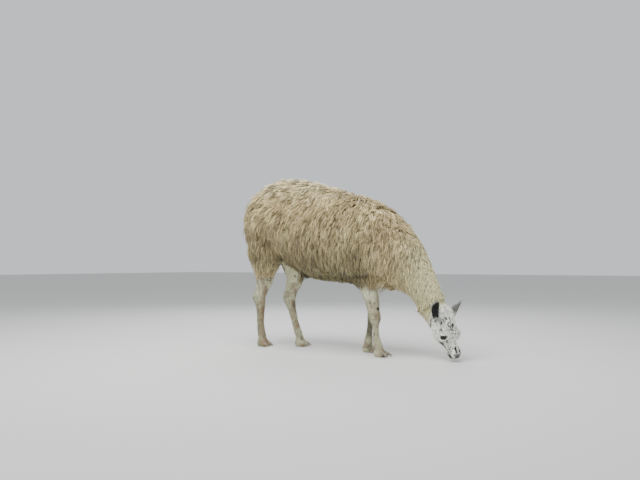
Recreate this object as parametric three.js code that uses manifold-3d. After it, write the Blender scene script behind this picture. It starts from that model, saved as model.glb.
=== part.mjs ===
// A llama grazing on level ground, life size, in millimetres.
// +X points from the tail to the head, +Y to the animal's left and +Z up.
// The solids run out to the tips of the coat. The animal is modelled whole, then parted with thin cuts.
import * as THREE from "three";
import { mergeVertices } from "three/addons/utils/BufferGeometryUtils.js";
import Module from "manifold-3d";

const wasm = await Module();
wasm.setup();

// ---- driving dimensions ------------------------------------------------------------------------

const CUT = 0.3; // width of every thin cut, and the gap round pieces set into the flesh
const HANDS = { left: 1, right: -1 };

// The spine stations run from the rump to the poll. Each one gives the point on the back line and the
// point on the belly or throat line, as [x, z], and the half width. "level" is how far up the section
// its widest place lies.
const SPINE = [
  { back: [-84, 925], belly: [-94, 785], half: 52, level: 0.5 },
  { back: [-70, 984], belly: [-82, 704], half: 112, level: 0.5 },
  { back: [-30, 1037], belly: [-54, 656], half: 163, level: 0.5 },
  { back: [38, 1084], belly: [14, 648], half: 202, level: 0.48 },
  { back: [118, 1120], belly: [100, 624], half: 222, level: 0.44 },
  { back: [215, 1137], belly: [208, 606], half: 234, level: 0.42 },
  { back: [325, 1126], belly: [318, 524], half: 243, level: 0.41 },
  { back: [460, 1098], belly: [450, 476], half: 250, level: 0.41 },
  { back: [590, 1060], belly: [585, 458], half: 246, level: 0.41 },
  { back: [704, 1024], belly: [700, 440], half: 238, level: 0.41 },
  { back: [830, 983], belly: [812, 432], half: 226, level: 0.42 },
  { back: [940, 935], belly: [905, 428], half: 204, level: 0.42 },
  { back: [1033, 868], belly: [985, 418], half: 172, level: 0.43 },
  { back: [1111, 786], belly: [1058, 412], half: 140, level: 0.45 },
  { back: [1176, 701], belly: [1108, 396], half: 114, level: 0.47 },
  { back: [1228, 607], belly: [1146, 352], half: 94, level: 0.5 },
  { back: [1269, 514], belly: [1184, 286], half: 79, level: 0.5 },
  { back: [1307, 428], belly: [1222, 232], half: 68, level: 0.5 },
  { back: [1333, 356], belly: [1250, 200], half: 60, level: 0.5 },
  { back: [1352, 308], belly: [1278, 184], half: 50, level: 0.5 },
  { back: [1364, 272], belly: [1310, 180], half: 36, level: 0.5 },
];
const SPINE_MESH = { sides: 24, roundness: 1 };

// The head hangs from the poll. Along it runs the face line, from the poll to the upper lip.
const POLL = new THREE.Vector3(1366, -14, 313);
const HEAD_PITCH = THREE.MathUtils.degToRad(74); // how far the face line points down from level
const HEAD_YAW = THREE.MathUtils.degToRad(-18); // turned a little to the animal's right
// Stations along the face line: "at" is the distance from the poll, "brow" the height of the forehead
// and nose over it, and "jaw" the depth under it.
const HEAD = [
  { at: -14, brow: -42, jaw: 72, half: 30, level: 0.55 },
  { at: 4, brow: -22, jaw: 100, half: 45, level: 0.58 },
  { at: 32, brow: -1, jaw: 122, half: 53, level: 0.6 },
  { at: 65, brow: 11, jaw: 134, half: 57, level: 0.6 },
  { at: 100, brow: 14, jaw: 140, half: 59, level: 0.62 },
  { at: 135, brow: 10, jaw: 138, half: 57, level: 0.62 },
  { at: 165, brow: 0, jaw: 127, half: 50, level: 0.6 },
  { at: 195, brow: -5, jaw: 104, half: 42, level: 0.56 },
  { at: 222, brow: -1, jaw: 86, half: 37, level: 0.52 },
  { at: 248, brow: 6, jaw: 72, half: 35, level: 0.5 },
  { at: 273, brow: 9, jaw: 64, half: 34, level: 0.48 },
  { at: 289, brow: 0, jaw: 56, half: 28, level: 0.48 },
  { at: 296, brow: -11, jaw: 46, half: 16, level: 0.48 },
];
const HEAD_MESH = { sides: 20, roundness: 0.85 };

const EYE = { at: 170, up: -32, side: 54, radius: 17.5 };
const ORBIT = { at: 160, up: -21, side: 36, long: 38, high: 30, wide: 33 };
const BALL_MESH = [12, 8]; // sides round and from pole to pole

// Each ear rises from the side of the poll. "forward" and "outward" say how far its tip leans for each
// unit of height. The tip bends back in again by "curl". The mouths face out and a little forward. The
// left ear is drawn up and in over the poll, and the right one hangs lower.
const EAR_FOOT = {
  left: { at: 62, up: -28, side: 37 },
  right: { at: 72, up: -57, side: 57 },
};
const EAR = { length: 155, half: 24, depth: 16, wall: 4.5, curl: 32, sides: 12 };
const EAR_LEAN = {
  left: { forward: 0.26, outward: 0.95 },
  right: { forward: 0.16, outward: 0.89 },
};
const EAR_MOUTH = { forward: 0.45, outward: 0.89 };
const EAR_CURL = { forward: 0.5, outward: -0.85 };
// The share of its full width that an ear has at even steps from the foot to the tip. The left ear is
// folded to a point, and the right one is open, with a broad tip.
const EAR_LEAF = {
  left: [0.6, 0.8, 0.92, 0.98, 0.92, 0.74, 0.52, 0.2],
  right: [0.5, 0.55, 0.62, 0.74, 0.86, 0.92, 0.84, 0.38],
};
// Where the leaf and its hollow start and end, as shares of the ear's length. The foot lies in the head.
const EAR_OUTSIDE = { from: -0.16, to: 1 };
const EAR_HOLLOW = { from: 0.24, to: 0.95, offset: 0.55 };

// The tail hangs down close behind the rump.
const TAIL = [
  { at: [-40, 0, 1010], along: 22, across: 30 },
  { at: [-72, 0, 970], along: 34, across: 44 },
  { at: [-95, 0, 912], along: 30, across: 50 },
  { at: [-104, 0, 848], along: 28, across: 50 },
  { at: [-104, 0, 785], along: 25, across: 45 },
  { at: [-96, 0, 732], along: 19, across: 32 },
  { at: [-90, 0, 708], along: 9, across: 14 },
];

// The forms of a hind leg and a front leg, from inside the trunk down to the foot: the half sizes fore
// and aft ("along") and side to side ("across") at each height.
const HIND_FORM = [
  { z: 780, along: 130, across: 92 },
  { z: 700, along: 142, across: 98 },
  { z: 640, along: 136, across: 96 },
  { z: 585, along: 115, across: 84 },
  { z: 530, along: 89, across: 66 },
  { z: 475, along: 69, across: 52 },
  { z: 425, along: 61, across: 44 },
  { z: 380, along: 53, across: 37 },
  { z: 341, along: 53, across: 32 },
  { z: 312, along: 49, across: 31 },
  { z: 280, along: 38, across: 28 },
  { z: 235, along: 30, across: 24 },
  { z: 170, along: 27, across: 22 },
  { z: 125, along: 28, across: 23 },
  { z: 96, along: 30, across: 26 },
  { z: 70, along: 29, across: 27 },
  { z: 40, along: 29, across: 27 },
];
const FRONT_FORM = [
  { z: 590, along: 62, across: 62 },
  { z: 500, along: 60, across: 56 },
  { z: 430, along: 57, across: 47 },
  { z: 380, along: 49, across: 39 },
  { z: 325, along: 43, across: 35 },
  { z: 285, along: 41, across: 34 },
  { z: 252, along: 38, across: 33 },
  { z: 220, along: 34, across: 29 },
  { z: 185, along: 22, across: 20 },
  { z: 140, along: 20, across: 18 },
  { z: 108, along: 24, across: 22 },
  { z: 82, along: 28, across: 26 },
  { z: 56, along: 28, across: 27 },
  { z: 36, along: 27, across: 27 },
];

// The middle line of each leg from the ground up, as [height, forward, out from the midline]. The right
// hind leg stands straight and the left one is stepped forward; the left front leg trails the right.
// "turn" is the angle that the foot points out to the left, in degrees.
const LEGS = {
  hind_right: {
    side: -1,
    form: HIND_FORM,
    line: [
      [40, 48, 70],
      [96, 33, 70],
      [170, 24, 70],
      [280, 23, 70],
      [312, 13, 71],
      [341, 16, 73],
      [425, 66, 85],
      [530, 98, 102],
      [640, 108, 114],
      [780, 108, 108],
    ],
    foot: { forward: 44, out: 70, turn: -4 },
  },
  hind_left: {
    side: 1,
    form: HIND_FORM,
    line: [
      [40, 264, 70],
      [96, 242, 70],
      [170, 216, 70],
      [280, 181, 70],
      [312, 169, 71],
      [341, 170, 73],
      [425, 198, 85],
      [530, 203, 102],
      [640, 182, 114],
      [780, 146, 108],
    ],
    foot: { forward: 262, out: 70, turn: 4 },
  },
  front_right: {
    side: -1,
    form: FRONT_FORM,
    line: [
      [36, 960, 84],
      [56, 952, 84],
      [82, 940, 84],
      [108, 934, 84],
      [185, 928, 84],
      [252, 921, 84],
      [325, 902, 86],
      [430, 880, 96],
      [590, 866, 108],
    ],
    foot: { forward: 957, out: 84, turn: -5 },
  },
  front_left: {
    side: 1,
    form: FRONT_FORM,
    line: [
      [36, 797, 65],
      [56, 796, 65],
      [82, 797, 65],
      [108, 801, 65],
      [185, 813, 65],
      [252, 833, 65],
      [325, 829, 67],
      [430, 806, 74],
      [590, 830, 104],
    ],
    foot: { forward: 794, out: 65, turn: 6 },
  },
};
const LEG_SIDES = 12;
const TAIL_SIDES = 12;

// The heights at which the legs are cut across. A hind leg's top is cut off by the sloping hip plate.
const HIND_CUTS = { names: ["thigh", "shank", "foot"], heights: [560, 300, 112, 0] };
const FRONT_CUTS = { names: ["forearm", "shin", "foot"], heights: [404, 235, 100, 0] };
const LEG_PLATE = [190, 96];

// Each foot stands on two toes. Their stations run forward along the toe from the heel of the pad;
// "z" is the centre height. The pads reach a little under the ground and are trimmed flat there.
const TOE = [
  { x: -33, z: 26, up: 10, down: 20, half: 9 },
  { x: -25, z: 24, up: 24, down: 28, half: 17 },
  { x: -6, z: 24, up: 31, down: 30, half: 20 },
  { x: 16, z: 22, up: 25, down: 28, half: 20 },
  { x: 36, z: 18, up: 19, down: 24, half: 18 },
  { x: 50, z: 14, up: 14, down: 18, half: 13 },
  { x: 56, z: 12, up: 8, down: 12, half: 7 },
];
const TOE_SIDES = 8;
const TOE_ROWS = [-1, 1]; // a foot's right toe and its left one
const TOE_SPACING = 19; // from the foot's middle line to the middle of a toe
const TOE_SPLAY = THREE.MathUtils.degToRad(7);
const NAIL = [
  { x: 33, z: 27, up: 6, down: 6, half: 6 },
  { x: 39, z: 25, up: 9, down: 9, half: 9 },
  { x: 53, z: 18, up: 9, down: 9, half: 8.5 },
  { x: 64, z: 11.5, up: 7, down: 7, half: 6.5 },
  { x: 70, z: 6.5, up: 3.5, down: 3.5, half: 3.5 },
];
const NAIL_SIDES = 6;

// The thin plates that cut the body: a point, the direction across the cut, and the plate's size.
const HIP = { at: [88, 0, 590], normal: [0.4, 0, 0.96], size: [530, 640] };
const NECK_ROOT = { at: [1080, 0, 610], normal: [1, 0, -0.12], size: [620, 420] };
const THROAT = { at: [1318, 0, 244], normal: [0.67, 0, -0.74], size: [240, 220] };

// A point near the middle of each large piece of flesh, by which the cut pieces are told apart.
const TRUNK_MIDDLE = new THREE.Vector3(490, 0, 770);
const NECK_MIDDLE = new THREE.Vector3(1212, 0, 500);
const HEAD_MIDDLE = { at: 150, side: 0, up: -50 };

const GROUND = { size: [4000, 2000, 200], middle: [600, 0, -100] };

// ---- colours and finishes ----------------------------------------------------------------------

const finish = (color, roughness) => new THREE.MeshStandardMaterial({ color, roughness, metalness: 0 });
const MATERIALS = {
  fleece: finish(0xc2b28c, 0.95),
  wool: finish(0xcfc3a2, 0.95),
  face: finish(0xd8d4cb, 0.85),
  legs: finish(0xc4b9a8, 0.85),
  ear: finish(0x8c8680, 0.85),
  eye: finish(0x17110e, 0.1),
  horn: finish(0x3a3029, 0.5),
};

// ---- building shapes ---------------------------------------------------------------------------

// A closed solid through rings of points, its ends closed to the middle of the end rings.
function skinRings(rings) {
  const sides = rings[0].length;
  const middle = (ring) => ring.reduce((sum, p) => sum.add(p), new THREE.Vector3()).divideScalar(sides);
  const points = [...rings.flat(), middle(rings[0]), middle(rings.at(-1))];
  const first = points.length - 2;
  const last = points.length - 1;
  const lastRing = (rings.length - 1) * sides;
  const faces = [];
  for (let side = 0; side < sides; side += 1) {
    const next = (side + 1) % sides;
    for (let ring = 0; ring < rings.length - 1; ring += 1) {
      const here = ring * sides;
      const beyond = here + sides;
      faces.push(here + side, here + next, beyond + next);
      faces.push(here + side, beyond + next, beyond + side);
    }
    faces.push(first, next, side);
    faces.push(last, lastRing + side, lastRing + next);
  }
  const geometry = new THREE.BufferGeometry().setFromPoints(points);
  geometry.setIndex(faces);
  return geometry;
}

// A rounded ring about a centre. "up" and "down" are its two heights along the upward direction, and a
// roundness under 1 makes it squarer than an oval.
function ovalRing(centre, upward, sideways, { up, down, half, sides, roundness = 1 }) {
  const squared = (value) => Math.sign(value) * Math.abs(value) ** roundness;
  return Array.from({ length: sides }, (_, index) => {
    const angle = (index / sides) * 2 * Math.PI;
    const height = squared(Math.sin(angle)) * (Math.sin(angle) > 0 ? up : down);
    const width = squared(Math.cos(angle)) * half;
    return centre.clone().addScaledVector(sideways, width).addScaledVector(upward, height);
  });
}

const ACROSS = new THREE.Vector3(0, 1, 0);
const UPWARD = new THREE.Vector3(0, 0, 1);
const FORWARD = new THREE.Vector3(1, 0, 0);

// A body part between an upper and a lower line in the XZ plane, given as [x, z] pairs.
function profileLoft(stations, { sides, roundness }, swell) {
  const rings = stations.map(({ back, belly, half, level }) => {
    const top = new THREE.Vector3(back[0], 0, back[1]);
    const bottom = new THREE.Vector3(belly[0], 0, belly[1]);
    const upward = top.clone().sub(bottom).normalize();
    const height = top.distanceTo(bottom);
    const centre = bottom.clone().lerp(top, level);
    const up = height * (1 - level) + swell;
    const down = height * level + swell;
    return ovalRing(centre, upward, ACROSS, { up, down, half: half + swell, sides, roundness });
  });
  return skinRings(rings);
}

// A limb of level rings. Each station has a middle point and its half sizes.
function limbLoft(stations, sides) {
  const rings = stations.map(({ at, along, across }) =>
    ovalRing(new THREE.Vector3(...at), FORWARD, ACROSS, { up: along, down: along, half: across, sides }),
  );
  return skinRings(rings);
}

// A toe or nail of upright rings, listed from the heel forward.
function toeLoft(stations, sides, swell = 0) {
  const rings = stations.map((s) => {
    const centre = new THREE.Vector3(s.x, 0, s.z);
    const form = { up: s.up + swell, down: s.down + swell, half: s.half + swell, sides };
    return ovalRing(centre, UPWARD, ACROSS, form);
  });
  return skinRings(rings);
}

// ---- solids ------------------------------------------------------------------------------------

// A geometry as a solid. A shape whose faces point inwards is turned the right way out.
function solidOf(geometry) {
  const bare = geometry.clone();
  bare.deleteAttribute("normal");
  bare.deleteAttribute("uv");
  const welded = mergeVertices(bare);
  const mesh = new wasm.Mesh({
    numProp: 3,
    vertProperties: new Float32Array(welded.attributes.position.array),
    triVerts: new Uint32Array(welded.index.array),
  });
  const solid = new wasm.Manifold(mesh);
  if (solid.volume() > 0) {
    return solid;
  }
  mesh.triVerts.reverse();
  return new wasm.Manifold(mesh);
}

function geometryOf(solid) {
  const mesh = solid.getMesh();
  const geometry = new THREE.BufferGeometry();
  geometry.setAttribute("position", new THREE.BufferAttribute(new Float32Array(mesh.vertProperties), 3));
  geometry.setIndex(new THREE.BufferAttribute(new Uint32Array(mesh.triVerts), 1));
  geometry.computeVertexNormals();
  return geometry;
}

const join = (solids) => solids.reduce((whole, solid) => whole.add(solid));

// A thin plate that cuts the flesh across, square to its normal.
function cutPlate({ at, normal, size }) {
  const across = new THREE.Vector3(...normal).normalize();
  const plate = new THREE.BoxGeometry(...size, CUT);
  plate.applyQuaternion(new THREE.Quaternion().setFromUnitVectors(UPWARD, across));
  return solidOf(plate.translate(...at));
}

// ---- trunk, neck and tail ----------------------------------------------------------------------

const spine = (swell, setBack = 0) =>
  solidOf(profileLoft(SPINE, SPINE_MESH, swell).translate(-setBack, 0, 0));

// The tail is cut to the rump, with a gap both round it and behind it.
const tail = () => solidOf(limbLoft(TAIL, TAIL_SIDES)).subtract(spine(CUT)).subtract(spine(CUT, CUT));

// ---- head, in its own frame: X along the face line, Z out of the forehead ------------------------

const headFrame = new THREE.Matrix4()
  .makeTranslation(POLL)
  .multiply(new THREE.Matrix4().makeRotationZ(HEAD_YAW))
  .multiply(new THREE.Matrix4().makeRotationY(HEAD_PITCH));

const headPoint = ({ at, side, up }, hand) =>
  new THREE.Vector3(at, hand * side, up).applyMatrix4(headFrame);

function skull(swell) {
  const stations = HEAD.map((s) => ({ ...s, back: [s.at, s.brow], belly: [s.at, -s.jaw] }));
  return solidOf(profileLoft(stations, HEAD_MESH, swell).applyMatrix4(headFrame));
}

// The bony ring that carries the eye stands out of the side of the head.
function orbit(hand) {
  const ring = new THREE.SphereGeometry(1, ...BALL_MESH).scale(ORBIT.long, ORBIT.wide, ORBIT.high);
  ring.translate(ORBIT.at, hand * ORBIT.side, ORBIT.up);
  return solidOf(ring.applyMatrix4(headFrame));
}

function eyeball(hand, swell = 0) {
  const ball = new THREE.SphereGeometry(EYE.radius + swell, ...BALL_MESH);
  return ball.translate(...headPoint(EYE, hand));
}

// ---- ears --------------------------------------------------------------------------------------

const lean = ({ forward, outward }, hand, up) => new THREE.Vector3(forward, hand * outward, up);

// A leaf of rounded rings that rises from the foot of an ear and curls at the tip.
function earLeaf(name, { from, to, offset = 0 }, half) {
  const hand = HANDS[name];
  const rise = lean(EAR_LEAN[name], hand, 1).normalize();
  const mouth = lean(EAR_MOUTH, hand, 0).projectOnPlane(rise).normalize();
  const breadth = new THREE.Vector3().crossVectors(rise, mouth);
  const curl = lean(EAR_CURL, hand, 0).multiplyScalar(EAR.curl);
  const rings = EAR_LEAF[name].map((fullness, index, leaf) => {
    const share = THREE.MathUtils.lerp(from, to, index / (leaf.length - 1));
    const depth = EAR.depth * fullness;
    const centre = headPoint(EAR_FOOT[name], hand)
      .addScaledVector(rise, share * EAR.length)
      .addScaledVector(curl, Math.max(share, 0) ** 3)
      .addScaledVector(mouth, offset * depth);
    const form = { up: depth, down: depth, half: half * fullness, sides: EAR.sides };
    return ovalRing(centre, mouth, breadth, form);
  });
  return solidOf(skinRings(rings));
}

// An ear is a leaf with a hollow in front. Its foot is cut to the head.
function ear(name) {
  const outside = earLeaf(name, EAR_OUTSIDE, EAR.half);
  const hollow = earLeaf(name, EAR_HOLLOW, EAR.half - EAR.wall);
  return outside.subtract(hollow).subtract(skull(CUT)).subtract(spine(CUT));
}

// ---- legs and feet -----------------------------------------------------------------------------

// The point of a leg's middle line at a height, on a smooth curve through the points of the line.
function axisAt({ side, line }, height) {
  const heights = line.map((point) => point[0]);
  const places = line.flatMap(([, forward, out]) => [forward, side * out]);
  const [forward, across] = new THREE.CubicInterpolant(heights, places, 2).evaluate(height);
  return [forward, across, height];
}

function limb(leg) {
  const stations = leg.form.map((form) => ({ ...form, at: axisAt(leg, form.z) }));
  return solidOf(limbLoft(stations, LEG_SIDES));
}

// Places a toe or nail on its foot. "row" is -1 for the foot's right toe and 1 for its left one.
function placeToe(geometry, { side, foot }, row) {
  return geometry
    .rotateZ(row * TOE_SPLAY)
    .translate(0, row * TOE_SPACING, 0)
    .rotateZ(THREE.MathUtils.degToRad(foot.turn))
    .translate(foot.forward, side * foot.out, 0);
}

const toe = (leg, row) => solidOf(placeToe(toeLoft(TOE, TOE_SIDES), leg, row));
const nail = (leg, row, swell = 0) => solidOf(placeToe(toeLoft(NAIL, NAIL_SIDES, swell), leg, row));

const cutsOf = (name) => (name.startsWith("hind") ? HIND_CUTS : FRONT_CUTS);

// ---- the flesh, modelled whole and then cut ----------------------------------------------------

const legs = Object.entries(LEGS);
const hands = Object.values(HANDS);
const ground = solidOf(new THREE.BoxGeometry(...GROUND.size).translate(...GROUND.middle));
const wholeFlesh = join([
  spine(0),
  skull(0),
  ...hands.map(orbit),
  ...legs.flatMap(([, leg]) => [limb(leg), ...TOE_ROWS.map((row) => toe(leg, row))]),
]).subtract(ground);

// The plates across a leg. The hind leg's top height only says where its thigh begins.
function legPlates([name, leg]) {
  const heights = cutsOf(name).heights.slice(name.startsWith("hind") ? 1 : 0, -1);
  return heights.map((height) => cutPlate({ at: axisAt(leg, height), normal: [0, 0, 1], size: LEG_PLATE }));
}

const cuts = [
  ...[HIP, NECK_ROOT, THROAT].map(cutPlate),
  ...hands.map((hand) => solidOf(eyeball(hand, CUT))),
  ...legs.flatMap(legPlates),
  ...legs.flatMap(([, leg]) => TOE_ROWS.map((row) => nail(leg, row, CUT))),
];
const fleshPieces = cuts.reduce((flesh, cut) => flesh.subtract(cut), wholeFlesh).decompose();

// The piece of flesh whose box is centred nearest to a point.
function fleshNear(point) {
  const distance = (piece) => {
    const { min, max } = piece.boundingBox();
    return new THREE.Vector3(...min).lerp(new THREE.Vector3(...max), 0.5).distanceTo(point);
  };
  return geometryOf(fleshPieces.reduce((best, piece) => (distance(piece) < distance(best) ? piece : best)));
}

// ---- the named pieces --------------------------------------------------------------------------

const animal = new THREE.Group();

function addPiece(name, geometry, material) {
  const mesh = new THREE.Mesh(geometry, material);
  mesh.name = name;
  animal.add(mesh);
}

addPiece("trunk", fleshNear(TRUNK_MIDDLE), MATERIALS.fleece);
addPiece("neck", fleshNear(NECK_MIDDLE), MATERIALS.wool);
addPiece("head", fleshNear(headPoint(HEAD_MIDDLE, 0)), MATERIALS.face);
addPiece("tail", geometryOf(tail()), MATERIALS.fleece);
for (const [name, hand] of Object.entries(HANDS)) {
  addPiece(`ear_${name}`, geometryOf(ear(name)), MATERIALS.ear);
  addPiece(`eye_${name}`, eyeball(hand), MATERIALS.eye);
}
for (const [name, leg] of legs) {
  const { names, heights } = cutsOf(name);
  for (const [index, part] of names.entries()) {
    const middle = new THREE.Vector3(...axisAt(leg, (heights[index] + heights[index + 1]) / 2));
    addPiece(`${name}_${part}`, fleshNear(middle), MATERIALS.legs);
  }
  for (const row of TOE_ROWS) {
    const place = row === leg.side ? "outer" : "inner";
    addPiece(`${name}_nail_${place}`, geometryOf(nail(leg, row)), MATERIALS.horn);
  }
}

// The origin is on the ground, under the middle of the animal's box.
const middle = new THREE.Box3().setFromObject(animal).getCenter(new THREE.Vector3());
animal.position.set(-middle.x, -middle.y, 0);

const llama = new THREE.Group();
llama.add(animal);
export default llama;
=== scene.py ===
# %% [markdown]
# # A llama, grazing
# A llama is a body under a deep coat. The frame holds its outline out to the tips of the wool, so the
# lesson works inwards first and outwards again: a smooth skin is made inside the outline, the head is
# modelled on that skin, and locks of wool then grow from the skin back out to the outline.

# %% Load the frame
import math

import bpy
import numpy as np
from mathutils import Matrix, Vector, bvhtree, kdtree, noise


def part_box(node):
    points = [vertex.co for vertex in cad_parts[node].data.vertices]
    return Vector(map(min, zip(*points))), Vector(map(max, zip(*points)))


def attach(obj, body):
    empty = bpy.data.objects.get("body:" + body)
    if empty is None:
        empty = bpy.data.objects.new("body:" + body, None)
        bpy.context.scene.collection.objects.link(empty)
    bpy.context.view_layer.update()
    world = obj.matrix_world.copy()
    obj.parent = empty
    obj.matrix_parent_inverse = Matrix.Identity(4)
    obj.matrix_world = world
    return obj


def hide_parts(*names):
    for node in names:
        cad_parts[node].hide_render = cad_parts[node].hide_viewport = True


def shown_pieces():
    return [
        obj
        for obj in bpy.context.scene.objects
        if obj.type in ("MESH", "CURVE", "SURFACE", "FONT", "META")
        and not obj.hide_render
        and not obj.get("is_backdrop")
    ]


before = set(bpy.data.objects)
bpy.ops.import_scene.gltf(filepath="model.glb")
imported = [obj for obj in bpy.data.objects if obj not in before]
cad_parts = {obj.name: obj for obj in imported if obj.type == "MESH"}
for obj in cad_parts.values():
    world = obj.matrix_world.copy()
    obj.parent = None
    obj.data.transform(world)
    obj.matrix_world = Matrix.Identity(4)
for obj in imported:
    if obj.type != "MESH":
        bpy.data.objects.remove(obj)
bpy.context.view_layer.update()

# %% Tools for choosing, editing and finishing objects
def choose(*objects):
    """Only these objects are selected, and the last one is active."""
    bpy.ops.object.select_all(action="DESELECT")
    for obj in objects:
        obj.select_set(True)
        bpy.context.view_layer.objects.active = obj


def edited(obj, step, **settings):
    """Takes one step of edit mode with the whole of a mesh selected."""
    choose(obj)
    bpy.ops.object.mode_set(mode="EDIT")
    bpy.ops.mesh.select_all(action="SELECT")
    step(**settings)
    bpy.ops.object.mode_set(mode="OBJECT")


def finish_with(obj, kind, **settings):
    """Adds a modifier with these settings and applies it."""
    choose(obj)
    modifier = obj.modifiers.new(kind.title(), kind)
    for key, value in settings.items():
        setattr(modifier, key, value)
    bpy.ops.object.modifier_apply(modifier=modifier.name)


def shade_smooth(obj):
    choose(obj)
    bpy.ops.object.shade_smooth()


# %% Tools for the numbers of a mesh
def numbers(items, key, width, kind=float):
    """One property of many items, as a row of numbers for each item."""
    values = np.empty(len(items) * width, dtype=kind)
    items.foreach_get(key, values)
    return values.reshape(-1, width)


def points_of(mesh):
    return numbers(mesh.vertices, "co", 3)


def normals_of(mesh):
    return numbers(mesh.vertex_normals, "vector", 3)


def triangles_of(mesh):
    mesh.calc_loop_triangles()
    return numbers(mesh.loop_triangles, "vertices", 3, np.int64)


def move_points(mesh, points):
    mesh.vertices.foreach_set("co", np.ascontiguousarray(points).ravel())
    mesh.update()


def ease(value, low, high):
    """0 below low, 1 above high, and a smooth rise between them."""
    t = np.clip((value - low) / (high - low), 0, 1)
    return t * t * (3 - 2 * t)


def bell(value):
    """1 where the value is 0, with a soft fall to both sides."""
    return np.exp(-(value**2))


def unit(vectors):
    return vectors / np.maximum(np.linalg.norm(vectors, axis=-1, keepdims=True), 1e-9)


biggest = max(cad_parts.values(), key=lambda obj: len(obj.data.vertices))
print("largest node", biggest.name, "with", len(points_of(biggest.data)), "points")

# %% Tools for evening a surface out
EVENING = 0.7  # how far one round goes towards the mean of the neighbours
REGAINING = 2  # how often the volume that evening loses is given back


def evener(mesh):
    """A way to take rows of values on a mesh's points to the means over their neighbours."""
    edges = numbers(mesh.edges, "vertices", 2, np.int64)
    here, there = np.concatenate([edges, edges[:, ::-1]]).T
    count = len(mesh.vertices)
    degree = np.maximum(np.bincount(here, minlength=count), 1)

    def even(values):
        sums = [np.bincount(here, column[there], count) for column in values.T]
        return np.stack([total / degree for total in sums], axis=1)

    return even


def evened(values, even, rounds, share=1.0):
    """Values after some rounds of drawing them towards the means of their neighbours."""
    for _ in range(rounds):
        values = values + share * (even(values) - values) * EVENING
    return values


def relax(mesh, rounds, weight=1.0, keep_volume=True):
    """Evens a surface out by moving each point towards the middle of its neighbours."""
    even = evener(mesh)
    first = points_of(mesh)
    share = np.broadcast_to(np.asarray(weight, dtype=float), (len(first),))[:, None]
    points = evened(first, even, rounds, share)
    for _ in range(REGAINING if keep_volume else 0):
        points = points + evened(first - points, even, rounds) * share
    move_points(mesh, points)


print("a round of evening goes", EVENING, "of the way")

# %% [markdown]
# The flesh comes from the frame. Its pieces are cut apart by thin gaps, so each copy is swollen a little
# until the pieces overlap, and a voxel remesh then makes one closed surface of them. The other way would be
# a chain of unions, but the remesh also gives even faces, which sculpting and smoothing need.

# %% The flesh as one closed surface
WELD = 1e-5
SWELL = 0.0006
FLESH_VOXEL = 0.007
EARS = ["ear_left", "ear_right"]
FLESH = [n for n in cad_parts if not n.startswith(("eye", "ear")) and "nail" not in n]


def copy_of(name, nodes):
    """One object that holds welded copies of frame nodes."""
    choose(*[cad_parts[n] for n in nodes])
    bpy.ops.object.duplicate()
    if len(nodes) > 1:
        bpy.ops.object.join()
    made = bpy.context.object
    made.name = name
    made.parent = None
    made.data.materials.clear()
    edited(made, bpy.ops.mesh.remove_doubles, threshold=WELD)
    edited(made, bpy.ops.mesh.customdata_custom_splitnormals_clear)
    for key in list(made.keys()):
        del made[key]
    return made


skin = copy_of("skin", FLESH)
finish_with(skin, "DISPLACE", strength=SWELL, mid_level=0)
finish_with(skin, "REMESH", mode="VOXEL", voxel_size=FLESH_VOXEL)
relax(skin.data, rounds=12)
print("closed flesh", len(skin.data.vertices), "points")

# %% [markdown]
# The head hangs from the poll, the top of the neck. All that is modelled on it is easier to place in the
# head's own frame: X runs down the face from the poll to the lips, Y to the animal's left and Z out of the
# forehead. The eyes of the frame fix where it is.

# %% The head's own frame
HEAD_PITCH = math.radians(74)
HEAD_YAW = math.radians(-18)
TURN = np.array(Matrix.Rotation(HEAD_YAW, 3, "Z") @ Matrix.Rotation(HEAD_PITCH, 3, "Y"))
EYE = np.array([0.170, 0.054, -0.032])
HANDS = {"left": 1, "right": -1}


def middle_of(node):
    low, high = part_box(node)
    return (np.array(low) + np.array(high)) / 2


eyes_middle = (middle_of("eye_left") + middle_of("eye_right")) / 2
POLL = eyes_middle - TURN @ np.array([EYE[0], 0, EYE[2]])


def to_head(points):
    return (points - POLL) @ TURN


def from_head(points):
    return np.asarray(points) @ TURN.T + POLL


def handed(place, hand):
    """A place on the left of the head, or its mirror image on the right."""
    return np.array([place[0], place[1] * hand, place[2]])


print("poll at", POLL.round(4))

# %% [markdown]
# Each ear is a leaf with rolled edges, a closed tube at its foot and an open, hollow blade above. It rises
# from the side of the poll and curls in at its tip. The shape is written as a few numbers along its length,
# which also tell later which part of the skin is ear.

# %% The shape of an ear
EAR_FOOT = {"left": (0.062, 0.037, -0.028), "right": (0.072, 0.057, -0.057)}
EAR_LENGTH = 0.155
EAR_HALF = 0.0238
EAR_DEPTH = 0.0155
EAR_WALL = 0.0046
EAR_CURL = np.array([0.5, -0.85, 0.0]) * 0.032  # how the left tip curls forward and inward
EAR_LEAN = {"left": (0.26, 0.95), "right": (0.16, 0.89)}  # forward and outward, for a rise of 1
EAR_MOUTH = (0.45, 0.89)  # how far the mouth faces forward and outward
EAR_STATIONS = [-0.16, 0.006, 0.171, 0.337, 0.503, 0.669, 0.834, 0.92, 0.97, 1.0]
EAR_FULLNESS = {
    "left": (EAR_STATIONS, [0.60, 0.80, 0.92, 0.98, 0.92, 0.75, 0.53, 0.38, 0.28, 0.18]),
    "right": (EAR_STATIONS, [0.50, 0.55, 0.62, 0.74, 0.86, 0.92, 0.90, 0.80, 0.64, 0.38]),
}
EAR_OPENING = ([-0.16, 0.06, 0.16, 0.35, 0.7, 1.0], [179, 176, 132, 104, 92, 80])
EAR_BORDER = (1.08, 1.3)  # where an ear ends to the side, in its own half sizes
EAR_START = (0.02, 0.30)  # shares of its length between which the head turns to ear
EAR_END = 1.12


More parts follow.
